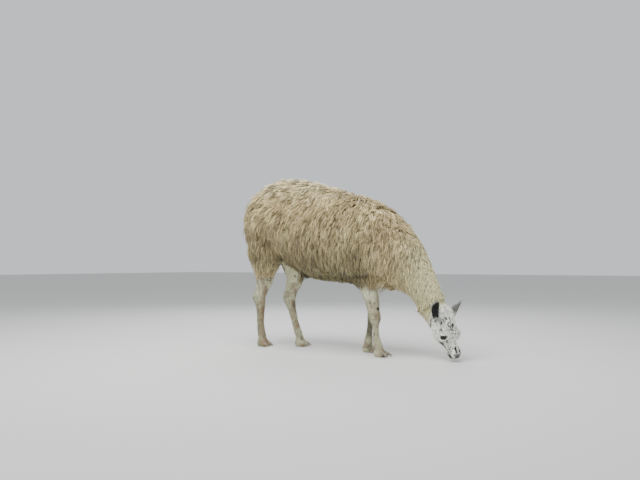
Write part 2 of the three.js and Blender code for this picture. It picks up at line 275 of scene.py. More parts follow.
def ear_axes(name):
    """The ways an ear rises, faces and spreads, and the curl of its tip."""
    hand = HANDS[name]
    forward, outward = EAR_LEAN[name]
    rise = unit(np.array([forward, hand * outward, 1.0]))
    mouth = np.array([EAR_MOUTH[0], hand * EAR_MOUTH[1], 0.0])
    mouth = unit(mouth - rise * (mouth @ rise))
    return rise, mouth, np.cross(rise, mouth), handed(EAR_CURL, hand)


def ear_middle(name, share):
    rise, _, _, curl = ear_axes(name)
    base = from_head(handed(EAR_FOOT[name], HANDS[name]))
    return base + rise * (share * EAR_LENGTH) + curl * max(share, 0) ** 3


def ear_places(points, name):
    """Share of the way up an ear, and places along its breadth and its mouth, in its half sizes."""
    rise, mouth, breadth, curl = ear_axes(name)
    away = points - from_head(handed(EAR_FOOT[name], HANDS[name]))
    share = away @ rise / EAR_LENGTH
    away = away - curl * np.maximum(share, 0)[:, None] ** 3
    full = np.interp(share, *EAR_FULLNESS[name])
    return share, away @ breadth / (EAR_HALF * full), away @ mouth / (EAR_DEPTH * full)


def ear_share(points):
    """1 on the ears and 0 elsewhere."""
    found = np.zeros(len(points))
    for name in HANDS:
        share, across, deep = ear_places(points, name)
        near = (1 - ease(np.hypot(across, deep), *EAR_BORDER)) * (share < EAR_END)
        found = np.maximum(found, near * ease(share, *EAR_START))
    return found


for name in HANDS:
    print(name, "ear rises from", ear_middle(name, 0).round(3), "to", ear_middle(name, 1).round(3))

# %% [markdown]
# The wool is about as deep as a hand is wide on the trunk, thinner down the neck, and a few millimetres
# of flat hair on the face and the lower legs. The skin lies inside the outline by that depth. On a thin
# part, such as the lower thigh, the depth is also held to a share of the thickness.

# %% Where wool grows
FRONT_HEM = (0.445, 0.510)  # heights between which the short hair of a front leg turns to wool
HIND_HEM = (0.385, 0.650)  # the same on the outer side of a hind leg
INNER_HEM = (0.600, 0.720)  # and on the bare inner side of a thigh
INNER_SIDE = (0.066, 0.100)  # how far from the midline that inner side ends
HIND_END = -0.30  # the hind legs lie behind this
CHEST = (0.31, 0.37)  # forward places from which all is above the hems
NECK = (0.34, 0.66)  # forward places between which the trunk turns to the upper neck
HEAD_START = 0.56  # the head lies ahead of this
HEAD_BORDER = (-0.030, 0.018)  # places down the face between which the neck turns to head
THROAT_SLOPE = 0.85  # how much further down the border of the head runs at the throat
THROAT_LEVEL = -0.03


def neck_share(points):
    return ease(points[:, 0], *NECK)


def head_share(points, low=HEAD_BORDER[0], high=HEAD_BORDER[1]):
    """0 on the neck and 1 on the head. The border runs lower at the throat than at the poll."""
    places = to_head(points)
    down_face = places[:, 0] + THROAT_SLOPE * (places[:, 2] - THROAT_LEVEL)
    return ease(down_face, low, high) * (points[:, 0] > HEAD_START)


def body_share(points):
    """0 on the legs below the hems of the wool and 1 above them."""
    outer = ease(np.abs(points[:, 1]), *INNER_SIDE)
    hind = ease(points[:, 2], *HIND_HEM) * outer + ease(points[:, 2], *INNER_HEM) * (1 - outer)
    above = np.where(points[:, 0] < HIND_END, hind, ease(points[:, 2], *FRONT_HEM))
    return np.maximum(above, ease(points[:, 0], *CHEST))


def wool_share(points):
    """1 where wool grows and 0 on the legs and the face."""
    return body_share(points) * (1 - head_share(points)) * (1 - ear_share(points))


print("share of the flesh that is woolly", wool_share(points_of(skin.data)).mean().round(2))

# %% How deep the coat is
TRUNK_COAT = 0.044
NECK_COAT = 0.014
LEG_COAT = 0.0022
FACE_COAT = 0.0025
SOLE = 0.012  # the coat thins away below this height
THIN_SHARE = 0.2  # the coat is never deeper than this share of the flesh
INNER_HEAD = 0.016  # the coarse head is drawn in by this, for the fine head to cover it
FOLDS_END = 0.45  # forward place behind which wool hangs over the folds of the flesh
NUDGE = 1e-4  # how far inside the surface a ray starts
THICKEST = 0.6


def coat_depth(points):
    wool = TRUNK_COAT + (NECK_COAT - TRUNK_COAT) * neck_share(points)
    short = LEG_COAT + (FACE_COAT - LEG_COAT) * head_share(points)
    share = wool_share(points)
    return (short * (1 - share) + wool * share) * ease(points[:, 2], 0.0, SOLE)


def tree_of(mesh):
    return bvhtree.BVHTree.FromPolygons(points_of(mesh).tolist(), triangles_of(mesh).tolist())


def reach(tree, points, directions, most):
    """How far each ray runs from its point before it meets the surface."""
    found = np.full(len(points), most)
    for index, (place, way) in enumerate(zip(points.tolist(), directions.tolist())):
        distance = tree.ray_cast(place, way, most)[3]
        if distance is not None:
            found[index] = distance
    return found


# The outline of the fleece is evened over the folds of the flesh before the depth is measured from it.
points = points_of(skin.data)
relax(skin.data, rounds=40, weight=wool_share(points) * (points[:, 0] < FOLDS_END))
outline_tree = tree_of(skin.data)
outline_points = points_of(skin.data)
outline_normals = normals_of(skin.data)
starts = outline_points - outline_normals * NUDGE
thickness = reach(outline_tree, starts, -outline_normals, THICKEST)
depth = np.minimum(coat_depth(outline_points), thickness * THIN_SHARE)
depth = np.where(head_share(outline_points) > 0.5, INNER_HEAD, depth)
print("thinnest", thickness.min().round(4), "deepest coat", depth.max().round(4))

# %% The body's skin, inside the outline by the coat's depth
SKIN_VOXEL = 0.0055
BARE = 0.3  # where less of the coat than this is wool, the legs are filled out
FILL_REACH = 0.03
FILL_MOST = 0.02

move_points(skin.data, outline_points - outline_normals * depth[:, None])
relax(skin.data, rounds=6)
finish_with(skin, "REMESH", mode="VOXEL", voxel_size=SKIN_VOXEL)
relax(skin.data, rounds=8, weight=0.8)

# The smoothing draws the legs and feet in, so they are filled out to the depth of their hair again.
points, normals = points_of(skin.data), normals_of(skin.data)
gap = np.zeros((len(points), 1))
bare = np.flatnonzero(body_share(points) < BARE)
gap[bare, 0] = reach(outline_tree, points[bare], normals[bare], FILL_REACH) - coat_depth(points[bare])
gap[gap > FILL_MOST] = 0
gap = evened(gap, evener(skin.data), rounds=8)
move_points(skin.data, points + normals * gap)
print("body skin", len(skin.data.vertices), "points; legs filled out by up to", gap.max().round(4))

# %% [markdown]
# The head needs finer faces than the body. It is remeshed again from the frame, together with a short
# length of neck, and joined to the body under the wool of the throat, where the change of grain is hidden.
# The ears are laid out row by row as leaves and melted into the head by a second remesh.

# %% Ears
EAR_ROWS = 30
EAR_ACROSS = 22
EDGE_THINNING = 0.35  # how much thinner the wall is at its edges


def tube_faces(rows, count):
    """Four-cornered faces between rings of points, where the points are numbered ring by ring."""
    faces = []
    for start in range(0, (rows - 1) * count, count):
        for i in range(count):
            after = (i + 1) % count
            faces.append((start + i, start + after, start + count + after, start + count + i))
    return faces


def ear_leaf(name):
    """A hollow leaf: each row is a bent strip of the ear's wall, out along its back and in again."""
    _, mouth, breadth, _ = ear_axes(name)
    rings = []
    for share in np.linspace(EAR_STATIONS[0], 1.0, EAR_ROWS):
        full = np.interp(share, *EAR_FULLNESS[name])
        gape = math.radians(np.interp(share, *EAR_OPENING))
        turn = np.linspace(-gape, gape, EAR_ACROSS)
        wall = EAR_WALL * (1 - EDGE_THINNING * (np.abs(turn) / gape) ** 3)
        half, deep = EAR_HALF * full, EAR_DEPTH * full
        outer = np.stack([np.sin(turn) * half, -np.cos(turn) * deep], 1)
        inner = np.stack([np.sin(turn) * (half - wall), -np.cos(turn) * (deep - wall)], 1)
        ring = np.concatenate([outer, inner[::-1]])
        rings.append(ear_middle(name, share) + ring[:, :1] * breadth + ring[:, 1:] * mouth)
    count = 2 * EAR_ACROSS
    last = (EAR_ROWS - 1) * count
    ends = [tuple(range(count))[::-1], tuple(range(last, last + count))]
    mesh = bpy.data.meshes.new("ear leaf")
    mesh.from_pydata(np.concatenate(rings).tolist(), [], tube_faces(EAR_ROWS, count) + ends)
    leaf = bpy.data.objects.new("ear leaf", mesh)
    bpy.context.collection.objects.link(leaf)
    edited(leaf, bpy.ops.mesh.normals_make_consistent, inside=False)
    return leaf


ears = [ear_leaf(name) for name in HANDS]
print("ear leaves", [len(e.data.polygons) for e in ears])

# %% The head, remeshed finely with a length of neck
HEAD_VOXEL = 0.0022
NECK_WAY = unit(np.array([-0.55, 0.0, 0.84]))  # from the head up along the neck
STUB_START = (0.03, 0, -0.07)
STUB_LENGTH = 0.11  # how much neck is kept on the head
STUB_BORDER = (-0.075, -0.030)  # places down the face between which the stub turns to head
STUB_TUCK = 0.010  # how much deeper the stub lies, so that its end is inside the neck

head = copy_of("head skin", ["head", "neck"])
finish_with(head, "DISPLACE", strength=SWELL, mid_level=0)
stub_end = from_head(STUB_START) + NECK_WAY * STUB_LENGTH
edited(head, bpy.ops.mesh.bisect, plane_co=stub_end, plane_no=NECK_WAY, clear_outer=True, use_fill=True)
finish_with(head, "REMESH", mode="VOXEL", voxel_size=HEAD_VOXEL)
relax(head.data, rounds=60)
head_points = points_of(head.data)
towards_neck = 1 - head_share(head_points, *STUB_BORDER)
head_depth = coat_depth(head_points) + STUB_TUCK * towards_neck
move_points(head.data, head_points - normals_of(head.data) * head_depth[:, None])
print("head", len(head.data.vertices), "points")

# %% [markdown]
# The head is sculpted with dabs. A dab is a soft swelling or hollow at a place in the head's frame. The
# left side is written once and mirrored. The forehead, cheek, jaw, nose and lips are shaped in this way,
# and the lids are then laid over the eyeballs.

# %% Broad forms of the head
# Each dab has its place, its radii along X, Y and Z, and its height in millimetres. The head's dabs that
# lie off the midline are made on both sides.
BROAD_DABS = [
    ((0.105, 0.048, -0.100), (0.045, 0.030, 0.038), 3.5),  # muscle of the jaw
    ((0.150, 0.030, -0.112), (0.040, 0.030, 0.028), 8.0),  # angle of the jaw
    ((0.190, 0.040, -0.066), (0.030, 0.025, 0.024), -3.0),  # hollow before the cheek
    ((0.112, 0.050, -0.034), (0.026, 0.022, 0.022), -3.0),  # hollow of the temple
    ((0.150, 0.050, -0.006), (0.026, 0.020, 0.014), 3.5),  # brow over the eye
    ((0.205, 0.024, -0.012), (0.030, 0.012, 0.014), -2.0),  # side of the nose bone
    ((0.262, 0.024, -0.002), (0.020, 0.014, 0.014), 2.5),  # wing of the nostril
    ((0.281, 0.018, -0.020), (0.016, 0.014, 0.015), 3.5),  # upper lip
    ((0.296, 0.000, -0.022), (0.012, 0.026, 0.020), 4.5),  # tip of the upper lip
    ((0.250, 0.028, -0.060), (0.024, 0.016, 0.012), 2.0),  # behind the lower lip
    ((0.279, 0.000, -0.055), (0.018, 0.022, 0.012), 5.5),  # chin
    ((0.215, 0.000, 0.004), (0.040, 0.012, 0.014), 1.5),  # ridge of the nose
    ((0.060, 0.000, 0.012), (0.030, 0.030, 0.020), 2.5),  # crown
]


def dabbed(mesh, places, dabs, hands=tuple(HANDS.values())):
    """Pushes a mesh's points out along their normals by soft dabs."""
    points, normals = points_of(mesh), normals_of(mesh)
    push = np.zeros(len(points))
    for place, radii, height in dabs:
        for hand in hands if place[1] else (1,):
            away = (places - handed(place, hand)) / np.array(radii)
            push += height / 1000 * np.exp(-(away**2).sum(1))
    move_points(mesh, points + normals * push[:, None])


dabbed(head.data, to_head(points_of(head.data)), BROAD_DABS)
choose(*ears, head)
bpy.ops.object.join()
head = bpy.context.object
finish_with(head, "REMESH", mode="VOXEL", voxel_size=HEAD_VOXEL)
relax(head.data, rounds=3)
print("head with ears", len(head.data.vertices), "points")

# %% Forms of the legs
LEG_DABS = [
    ((-0.609, -0.110, 0.400), (0.011, 0.040, 0.045), -5.0),  # groove before the right tendon
    ((-0.444, 0.075, 0.385), (0.011, 0.040, 0.045), -5.0),  # groove before the left tendon
    ((-0.642, -0.080, 0.340), (0.016, 0.050, 0.018), 5.0),  # point of the right hock
    ((-0.482, 0.070, 0.330), (0.016, 0.050, 0.018), 5.0),  # point of the left hock
    ((0.297, -0.095, 0.243), (0.020, 0.034, 0.026), 4.0),  # right knee
    ((0.196, 0.070, 0.240), (0.020, 0.034, 0.026), 4.0),  # left knee
]
dabbed(skin.data, points_of(skin.data), LEG_DABS, hands=(1,))
print("legs shaped by", len(LEG_DABS), "dabs")

# %% Lines of the nostrils, the mouth and the split of the upper lip
NOSTRIL = [
    (0.236, 0.0110, 0.0050), (0.246, 0.0150, 0.0055),
    (0.256, 0.0165, 0.0040), (0.267, 0.0150, 0.0030),
]
MOUTH = [
    (0.294, 0.000, -0.030), (0.291, 0.012, -0.031), (0.282, 0.024, -0.034),
    (0.266, 0.032, -0.038), (0.246, 0.035, -0.045), (0.228, 0.036, -0.054),
]
LIP_SPLIT = [(0.297, 0.000, -0.006), (0.298, 0.000, -0.017), (0.296, 0.000, -0.028)]


def on_surface(mesh, line):
    """The places of a line in the head's frame, moved to the nearest point of a surface."""
    tree = tree_of(mesh)
    nearest_places = [tree.find_nearest(Vector(from_head(place)))[0] for place in line]
    return [tuple(to_head(np.array(place))) for place in nearest_places]


def mirrored(line, hand):
    return [handed(place, hand) for place in line]


def line_distance(points, line):
    """How far each point is from a bent line, and how far along the line it is."""
    line = np.array(line)
    best = np.full(len(points), np.inf)
    along = np.zeros(len(points))
    for index, (start, end) in enumerate(zip(line[:-1], line[1:])):
        way = end - start
        t = np.clip((points - start) @ way / (way @ way), 0, 1)
        away = np.linalg.norm(points - start - t[:, None] * way, axis=1)
        nearer = away < best
        best = np.where(nearer, away, best)
        along = np.where(nearer, (index + t) / (len(line) - 1), along)
    return best, along


NOSTRIL = on_surface(head.data, NOSTRIL)
MOUTH = on_surface(head.data, MOUTH)
LIP_SPLIT = on_surface(head.data, LIP_SPLIT)
print("nostril from", np.round(NOSTRIL[0], 3), "to", np.round(NOSTRIL[-1], 3))

# %% Carve them
NOSTRIL_DEPTH = 0.009
NOSTRIL_HALF = 0.0024  # half the width at its ends
NOSTRIL_FLARE = 0.0028  # what is added to that at its middle
WING_PLACE = 0.0070  # how far from the line the rim of the nostril stands
WING_HALF = 0.003
WING_HEIGHT = 0.0014
MOUTH_DEPTH = 0.0038
MOUTH_HALF = 0.0026
SPLIT_DEPTH = 0.0045
SPLIT_HALF = 0.003


def carve(mesh):
    points, normals = points_of(mesh), normals_of(mesh)
    places = to_head(points)
    push = np.zeros(len(points))
    for hand in HANDS.values():
        away, along = line_distance(places, mirrored(NOSTRIL, hand))
        width = NOSTRIL_HALF + NOSTRIL_FLARE * np.sin(along * math.pi)
        push -= NOSTRIL_DEPTH * bell(away / width)
        push += WING_HEIGHT * bell((away - WING_PLACE) / WING_HALF)
        away, _ = line_distance(places, mirrored(MOUTH, hand))
        push -= MOUTH_DEPTH * bell(away / MOUTH_HALF)
    away, _ = line_distance(places, LIP_SPLIT)
    push -= SPLIT_DEPTH * bell(away / SPLIT_HALF)
    move_points(mesh, points + normals * push[:, None])


carve(head.data)
print("nostrils, mouth and split lip carved")

# %% [markdown]
# A llama's eye is large and dark and looks out to the side. The lids lie on the ball, so the skin near
# each eye is drawn to a sphere just over it, and inside an almond-shaped opening it drops behind the ball.

# %% The frame of an eye and the opening of its lids
BALL = 0.0175
OUT_OF_EYE = (0.22, 1.0, 0.26)  # the way the left eye looks
OPENING = (0.0175, 0.0100)  # half length and half height of the opening
LOWER_LID = 0.8  # how high the opening is below its line, as a share of its height above
CORNERS = 1.6  # under 2, this draws the corners of the opening out
FISSURE = math.radians(64)  # how far the eye's line turns from the line of the face


def eye_axes(hand):
    """Outward, forward along the opening, and upward across it, in the head's frame."""
    out = unit(handed(OUT_OF_EYE, hand))
    forward = np.array([math.cos(FISSURE), 0, math.sin(FISSURE)])
    forward = unit(forward - out * (forward @ out))
    up = np.cross(forward, out) * hand
    return out, forward, -up if up[2] < 0 else up


def on_eye(points, hand):
    """Places about an eye: out of it, forward along its opening and up across it."""
    away = to_head(points) - handed(EYE, hand)
    return np.stack([away @ axis for axis in eye_axes(hand)], axis=1)


def off_eye(places, hand):
    return from_head(places @ np.stack(eye_axes(hand)) + handed(EYE, hand))


def almond(places):
    """Under 1 inside the opening of the lids."""
    length = np.abs(places[:, 1]) / OPENING[0]
    height = places[:, 2] / (OPENING[1] * np.where(places[:, 2] > 0, 1.0, LOWER_LID))
    return length**CORNERS + height**2


print("right eye looks along", (TURN @ eye_axes(HANDS["right"])[0]).round(2))

# %% Lids over the eyeballs
LID = 0.0024  # thickness of the lids over the ball
LID_ROLL = 0.0008  # how much thicker they are along the opening
ROLL_PLACE = 1.25  # where that roll lies, as a value of the almond
ROLL_HALF = 0.25
SOCKET = 0.05  # nothing further from the middle of an eye than this is moved
SOCKET_FLOOR = -0.025  # and nothing that lies deeper in the head than this
SHELF = 0.5  # skin beside the ball comes down to this share of its radius
DRAWN_IN = (0.015, 0.027)  # how far to the side skin above the ball is drawn in
DRAWN_OUT = (0.0195, 0.0235)  # and skin under its surface is drawn out
OPEN_EDGE = (0.82, 1.0)  # values of the almond between which the opening begins
DROP = 0.42  # how far the skin inside the opening drops towards the ball's middle
BLEND_IN = (0.0175, 0.0205)
BLEND_OUT = (0.026, 0.034)


def lay_lids(mesh):
    """Lays the skin over each ball like a cloth, drops it inside the opening and evens it round about."""
    for hand in HANDS.values():
        points = points_of(mesh)
        places = on_eye(points, hand)
        sideways = np.linalg.norm(places[:, 1:], axis=1)
        near = (np.linalg.norm(places, axis=1) < SOCKET) & (places[:, 0] > SOCKET_FLOOR)
        radius = BALL + LID + LID_ROLL * bell((almond(places) - ROLL_PLACE) / ROLL_HALF)
        cap = np.sqrt(np.maximum(radius**2 - sideways**2, 0))
        shelf = np.maximum(cap, radius * SHELF)
        above, below = places[:, 0] > shelf, places[:, 0] < cap
        pull = above * (1 - ease(sideways, *DRAWN_IN)) + below * (1 - ease(sideways, *DRAWN_OUT))
        places[:, 0] += (np.where(above, shelf, cap) - places[:, 0]) * pull * near
        inside = (1 - ease(almond(places), *OPEN_EDGE)) * (places[:, 0] > 0) * near
        places = places - places * (inside * DROP)[:, None]
        move_points(mesh, np.where(near[:, None], off_eye(places, hand), points))
        around = ease(sideways, *BLEND_IN) * (1 - ease(sideways, *BLEND_OUT)) * near
        relax(mesh, rounds=4, weight=around, keep_volume=False)


lay_lids(head.data)
print("lids laid")

# %% [markdown]
# Head and body become one skin by a union. Where deep wool will hide the skin it needs few faces, so it is
# thinned there and stays fine on the head and the legs.

# %% One skin
HIDDEN = 0.9  # where more of the coat than this is wool, the skin is thinned
KEPT_FACES = 0.36

deep = skin.vertex_groups.new(name="under deep wool")
hidden = np.flatnonzero(wool_share(points_of(skin.data)) > HIDDEN)
deep.add(hidden.tolist(), 1.0, "REPLACE")
before = len(triangles_of(skin.data))
finish_with(skin, "DECIMATE", decimate_type="COLLAPSE", ratio=KEPT_FACES, vertex_group=deep.name)
skin.vertex_groups.clear()
print("thinned body from", before, "to", len(triangles_of(skin.data)), "triangles")

finish_with(skin, "BOOLEAN", operation="UNION", object=head, solver="MANIFOLD")
bpy.data.objects.remove(head)
on_floor = points_of(skin.data)
on_floor[:, 2] = np.maximum(on_floor[:, 2], 0)
move_points(skin.data, on_floor)
shade_smooth(skin)
print("joined skin", len(triangles_of(skin.data)), "triangles")

# %% [markdown]
# The colours follow the animal and not the pieces, so skin and coat share them. Soft masks say where the
# face, the legs, the bare dark skin, the dirt and the painted shade and light are. They are worked out from
# places, and stored on each mesh: at a point of the skin for the skin, and at its root for a lock. The
# material then adds the flecks.
# mesh: at a point of the skin for the skin, and at its root for a lock. The material then adds the flecks.

# %% Marks of the head
# Where the flecks of the face crowd together, in the head's frame, each with its reach.
CROWDS = [
    ((0.112, -0.012, 0.012), 0.034), ((0.135, 0.022, 0.010), 0.026), ((0.200, -0.036, -0.066), 0.026),
    ((0.215, 0.000, 0.000), 0.024), ((0.200, 0.045, -0.040), 0.022), ((0.086, -0.055, -0.030), 0.022),
    ((0.235, -0.030, -0.020), 0.024), ((0.190, -0.042, -0.030), 0.018),
]
# Single dark marks of the face, each with its reach.
FACE_MARKS = [
    ((0.071, -0.040, 0.000), 0.0075), ((0.075, -0.017, 0.013), 0.0065), ((0.085, -0.055, -0.025), 0.0055),
    ((0.109, -0.037, 0.006), 0.0055), ((0.119, -0.030, 0.009), 0.0060), ((0.125, -0.019, 0.013), 0.0060),
    ((0.126, 0.016, 0.013), 0.0060), ((0.102, 0.006, 0.017), 0.0045), ((0.113, 0.000, 0.016), 0.0045),
    ((0.121, -0.046, -0.005), 0.0050), ((0.121, -0.056, -0.039), 0.0050), ((0.133, -0.055, -0.034), 0.0045),
    ((0.147, -0.043, 0.008), 0.0050), ((0.149, -0.020, 0.008), 0.0050), ((0.189, -0.036, -0.081), 0.0055),
    ((0.200, -0.034, -0.077), 0.0065), ((0.208, -0.033, -0.072), 0.0070), ((0.226, -0.032, -0.055), 0.0050),
    ((0.197, -0.039, -0.030), 0.0060), ((0.214, -0.008, 0.001), 0.0065), ((0.218, -0.020, -0.003), 0.0045),
    ((0.243, -0.028, -0.006), 0.0045), ((0.222, -0.035, -0.032), 0.0045), ((0.188, -0.047, -0.002), 0.0065),
    ((0.174, -0.061, -0.005), 0.0072), ((0.168, -0.066, -0.013), 0.0066), ((0.195, -0.048, -0.015), 0.0085),
    ((0.217, -0.035, -0.056), 0.0042), ((0.228, -0.032, -0.017), 0.0042), ((0.240, -0.034, -0.030), 0.0046),
    ((0.253, -0.033, -0.020), 0.0038), ((0.219, -0.022, -0.004), 0.0040), ((0.240, -0.033, -0.046), 0.0044),
    ((0.252, -0.032, -0.041), 0.0040), ((0.236, -0.026, -0.008), 0.0040), ((0.208, -0.040, -0.045), 0.0038),
]
# The dark at the foot of the right ear, and painted shade in grey beside it. Each has its place, its reach
# along X, Y and Z, and how strong it is.
EAR_MARKS_AND_SHADE = [
    ((0.062, -0.079, -0.034), (0.016, 0.014, 0.012), 1.0),
    ((0.051, -0.078, -0.034), (0.012, 0.014, 0.012), 1.0),
    # Painted shade: the grey beside the foot of the right ear.
    ((0.054, -0.060, -0.036), (0.018, 0.014, 0.014), 0.35),
]
LINING = {"left": 0.5, "right": 1.0}  # how dark each ear is inside
EAR_BACK = {"left": 0.80, "right": 0.0}  # how dark each ear is behind, along its rear edge
print(len(CROWDS), "crowds of flecks and", len(FACE_MARKS), "single marks on the face")

# %% Marks and painted shade of the legs and the fleece
# Each mark has its place, its reach forward, out and up, and how strong it is.
BLACK_MARKS_AND_SHADE = [
    ((0.292, -0.091, 0.293), (0.011, 0.014, 0.011), 1.0),
    ((0.252, -0.119, 0.327), (0.007, 0.012, 0.008), 0.6),
    ((0.274, -0.109, 0.327), (0.007, 0.012, 0.008), 0.6),
    ((0.270, -0.102, 0.138), (0.006, 0.012, 0.012), 0.7),
    # Painted shade: the far front leg's cannon and foot, which lie in shadow.
    ((0.155, 0.048, 0.155), (0.030, 0.040, 0.066), 0.62),
    ((0.164, 0.035, 0.034), (0.018, 0.030, 0.030), 0.55),
    ((-0.671, -0.099, 0.333), (0.008, 0.012, 0.009), 0.7),
    # Painted shade on the far hock.
    ((-0.443, 0.062, 0.294), (0.014, 0.020, 0.022), 0.3),
    ((-0.427, 0.046, 0.481), (0.009, 0.020, 0.011), 0.7),
    ((-0.463, 0.043, 0.391), (0.006, 0.020, 0.008), 0.7),
    ((-0.437, 0.067, 0.343), (0.006, 0.020, 0.012), 0.6),
    ((-0.377, 0.053, 0.060), (0.008, 0.020, 0.020), 0.6),
    ((0.349, -0.122, 0.020), (0.012, 0.020, 0.012), 0.5),
    ((0.300, -0.088, 0.190), (0.008, 0.020, 0.050), 0.45),
]
BROWN_MARKS_AND_SHADE = [
    ((0.296, -0.098, 0.252), (0.026, 0.030, 0.030), 0.65),
    ((-0.595, -0.076, 0.325), (0.022, 0.030, 0.050), 0.7),
    # Painted shade in the grooves before the tendons.
    ((-0.611, -0.121, 0.400), (0.010, 0.030, 0.044), 0.5),
    ((-0.446, 0.045, 0.390), (0.010, 0.030, 0.040), 0.35),
    ((-0.602, -0.070, 0.200), (0.015, 0.030, 0.070), 0.9),
    ((-0.600, -0.081, 0.105), (0.014, 0.030, 0.030), 0.6),
    ((-0.636, -0.099, 0.289), (0.010, 0.020, 0.008), 0.9),
    ((-0.640, -0.093, 0.244), (0.010, 0.020, 0.008), 0.9),
    ((-0.622, -0.094, 0.200), (0.012, 0.020, 0.034), 0.5),
    ((-0.449, 0.047, 0.191), (0.012, 0.030, 0.018), 0.6),
    ((0.330, -0.090, 0.040), (0.030, 0.040, 0.020), 0.5),
    ((-0.470, 0.047, 0.300), (0.010, 0.030, 0.020), 0.3),
]
# Painted shade where the wool lies in the folds before and behind the thigh, and painted shade with stains
# under the belly.
FOLD_SHADE_MARKS = [
    ((-0.316, -0.217, 0.640), (0.034, 0.080, 0.110), 0.85),
    ((-0.454, -0.140, 0.577), (0.060, 0.080, 0.060), 0.6),
    ((0.110, -0.160, 0.520), (0.090, 0.110, 0.060), 0.9),
    ((-0.140, -0.160, 0.520), (0.130, 0.110, 0.045), 0.55),
    ((0.225, -0.195, 0.769), (0.050, 0.060, 0.070), 0.18),
]


MARK_SPAN = 1.9  # a mark's inner and outer edge add up to this, in its own reach


def marked(points, marks, wander, core=0.65):
    """How strongly each place lies in one of the marks. "wander" makes their edges ragged, a small
    core makes them soft."""
    found = np.zeros(len(points))
    for place, radii, strength in marks:
        away = np.linalg.norm((points - np.array(place)) / np.array(radii), axis=1) + wander
        found = np.maximum(found, strength * (1 - ease(away, core, MARK_SPAN - core)))
    return found


print(len(BLACK_MARKS_AND_SHADE), "black and", len(BROWN_MARKS_AND_SHADE), "brown marks on the legs")

# %% The dark of the ears, the mouth, the nostrils and the eyes
BARE_NOSE = (0.264, 0.282)  # places down the face between which white turns to the dark of the nose
NOSE_SLOPE = 0.20  # the dark starts further up the face below than above
NOSE_DARK = 0.85
WHITE_LIP = -0.018  # the sides of the upper lip stay white at this level
WHITE_HALF = 0.007
WHITE_START = (0.016, 0.024)  # how far from the midline that white begins
LIP_FRONT = (0.248, 0.278)  # places between which the line of the mouth grows darker
LIP_LINE = (0.003, 0.008)  # how far from its line the dark of the mouth fades out
NOSTRIL_LINE = (0.0050, 0.0090)
INTO_NOSTRIL = (0.3, 0.4, 0.85)  # the way into the left nostril
INTO_DEEP = 0.8
EYE_RIM = (0.85, 1.2)
EYE_FRONT, EYE_REAR, EYE_HIGH = 0.023, 0.026, 0.0125  # reach of the dark about an eye
EYE_RAISED = 0.0015
EYE_TILT = 0.10
EYE_REACH = 0.045


def ear_dark(points, normals, ragged, ear):
    """The dark inside each ear, behind it and at the foot of the right one, with painted shade beside that
    foot.
    """
    found = marked(to_head(points), EAR_MARKS_AND_SHADE, ragged * 10, core=0.5)
    for name in HANDS:
        share, across, _ = ear_places(points, name)
        opening = ease(normals @ ear_axes(name)[1], -0.25, 0.15)
        lining = opening * ease(share, 0.10, 0.24) * (1 - ease(np.abs(across), 0.98, 1.12))
        behind = ease(-across + ragged * 90, -0.75, 0.75) * ease(share, 0.02, 0.15)
        behind = behind * (1 - 0.5 * ease(share, 0.7, 1.0))
        found = np.maximum.reduce([found, lining * ear * LINING[name], behind * ear * EAR_BACK[name]])
    return found


def eye_dark(points, hand):
    """The bare dark skin round about an eye."""
    places = on_eye(points, hand)
    forward, upward = places[:, 1], places[:, 2]
    upward = upward - EYE_RAISED - EYE_TILT * forward
    length = np.abs(forward / np.where(forward < 0, EYE_REAR, EYE_FRONT))
    around = length**1.4 + (upward / EYE_HIGH) ** 2
    return (1 - ease(around, *EYE_RIM)) * (np.linalg.norm(places, axis=1) < EYE_REACH)


def face_dark(points, ragged, face):
    """The dark of the nose, the mouth, the nostrils, the eyes and the marks of the face, with painted shade
    in the crease of the mouth and inside the nostrils.
    """
    places = to_head(points)
    white_lip = bell((places[:, 2] - WHITE_LIP) / WHITE_HALF) * ease(np.abs(places[:, 1]), *WHITE_START)
    nose = ease(places[:, 0] - NOSE_SLOPE * places[:, 2] + ragged, *BARE_NOSE)
    found = [nose * face * NOSE_DARK * (1 - white_lip)]
    front = ease(places[:, 0] + ragged, *LIP_FRONT)
    for hand in HANDS.values():
        # Dark lips, with painted shade in the crease of the mouth.
        away, _ = line_distance(places, mirrored(MOUTH, hand))
        found.append((1 - ease(away, *LIP_LINE)) * face * (0.35 + 0.65 * front))
        # Dark skin and painted shade inside each nostril.
        inward = unit(handed(INTO_NOSTRIL, hand))
        depth_in = np.minimum(0, (places - handed(NOSTRIL[1], hand)) @ inward)
        away, _ = line_distance(places - depth_in[:, None] * inward * INTO_DEEP, mirrored(NOSTRIL, hand))
        found.append((1 - ease(away, *NOSTRIL_LINE)) * face)
        found.append(eye_dark(points, hand))
    face_marks = [(place, (size,) * 3, 1.0) for place, size in FACE_MARKS]
    found.append(marked(places, face_marks, ragged * 40) * face)
    return np.maximum.reduce(found)


print("eyes are dark for", EYE_FRONT, "m in front of their middle and", EYE_REAR, "m behind")

# %% All the masks
FACE_START = (-0.060, -0.005)  # places down the face between which cream turns to white
FLECKED_FROM = (0.035, 0.075)
FLECKED_BELOW = (-0.125, -0.085)
LEG_FLECKS = 0.25
EAR_CROWD = 0.5
RAGGED_SCALE = 70.0
RAGGED_SIZE = 0.012


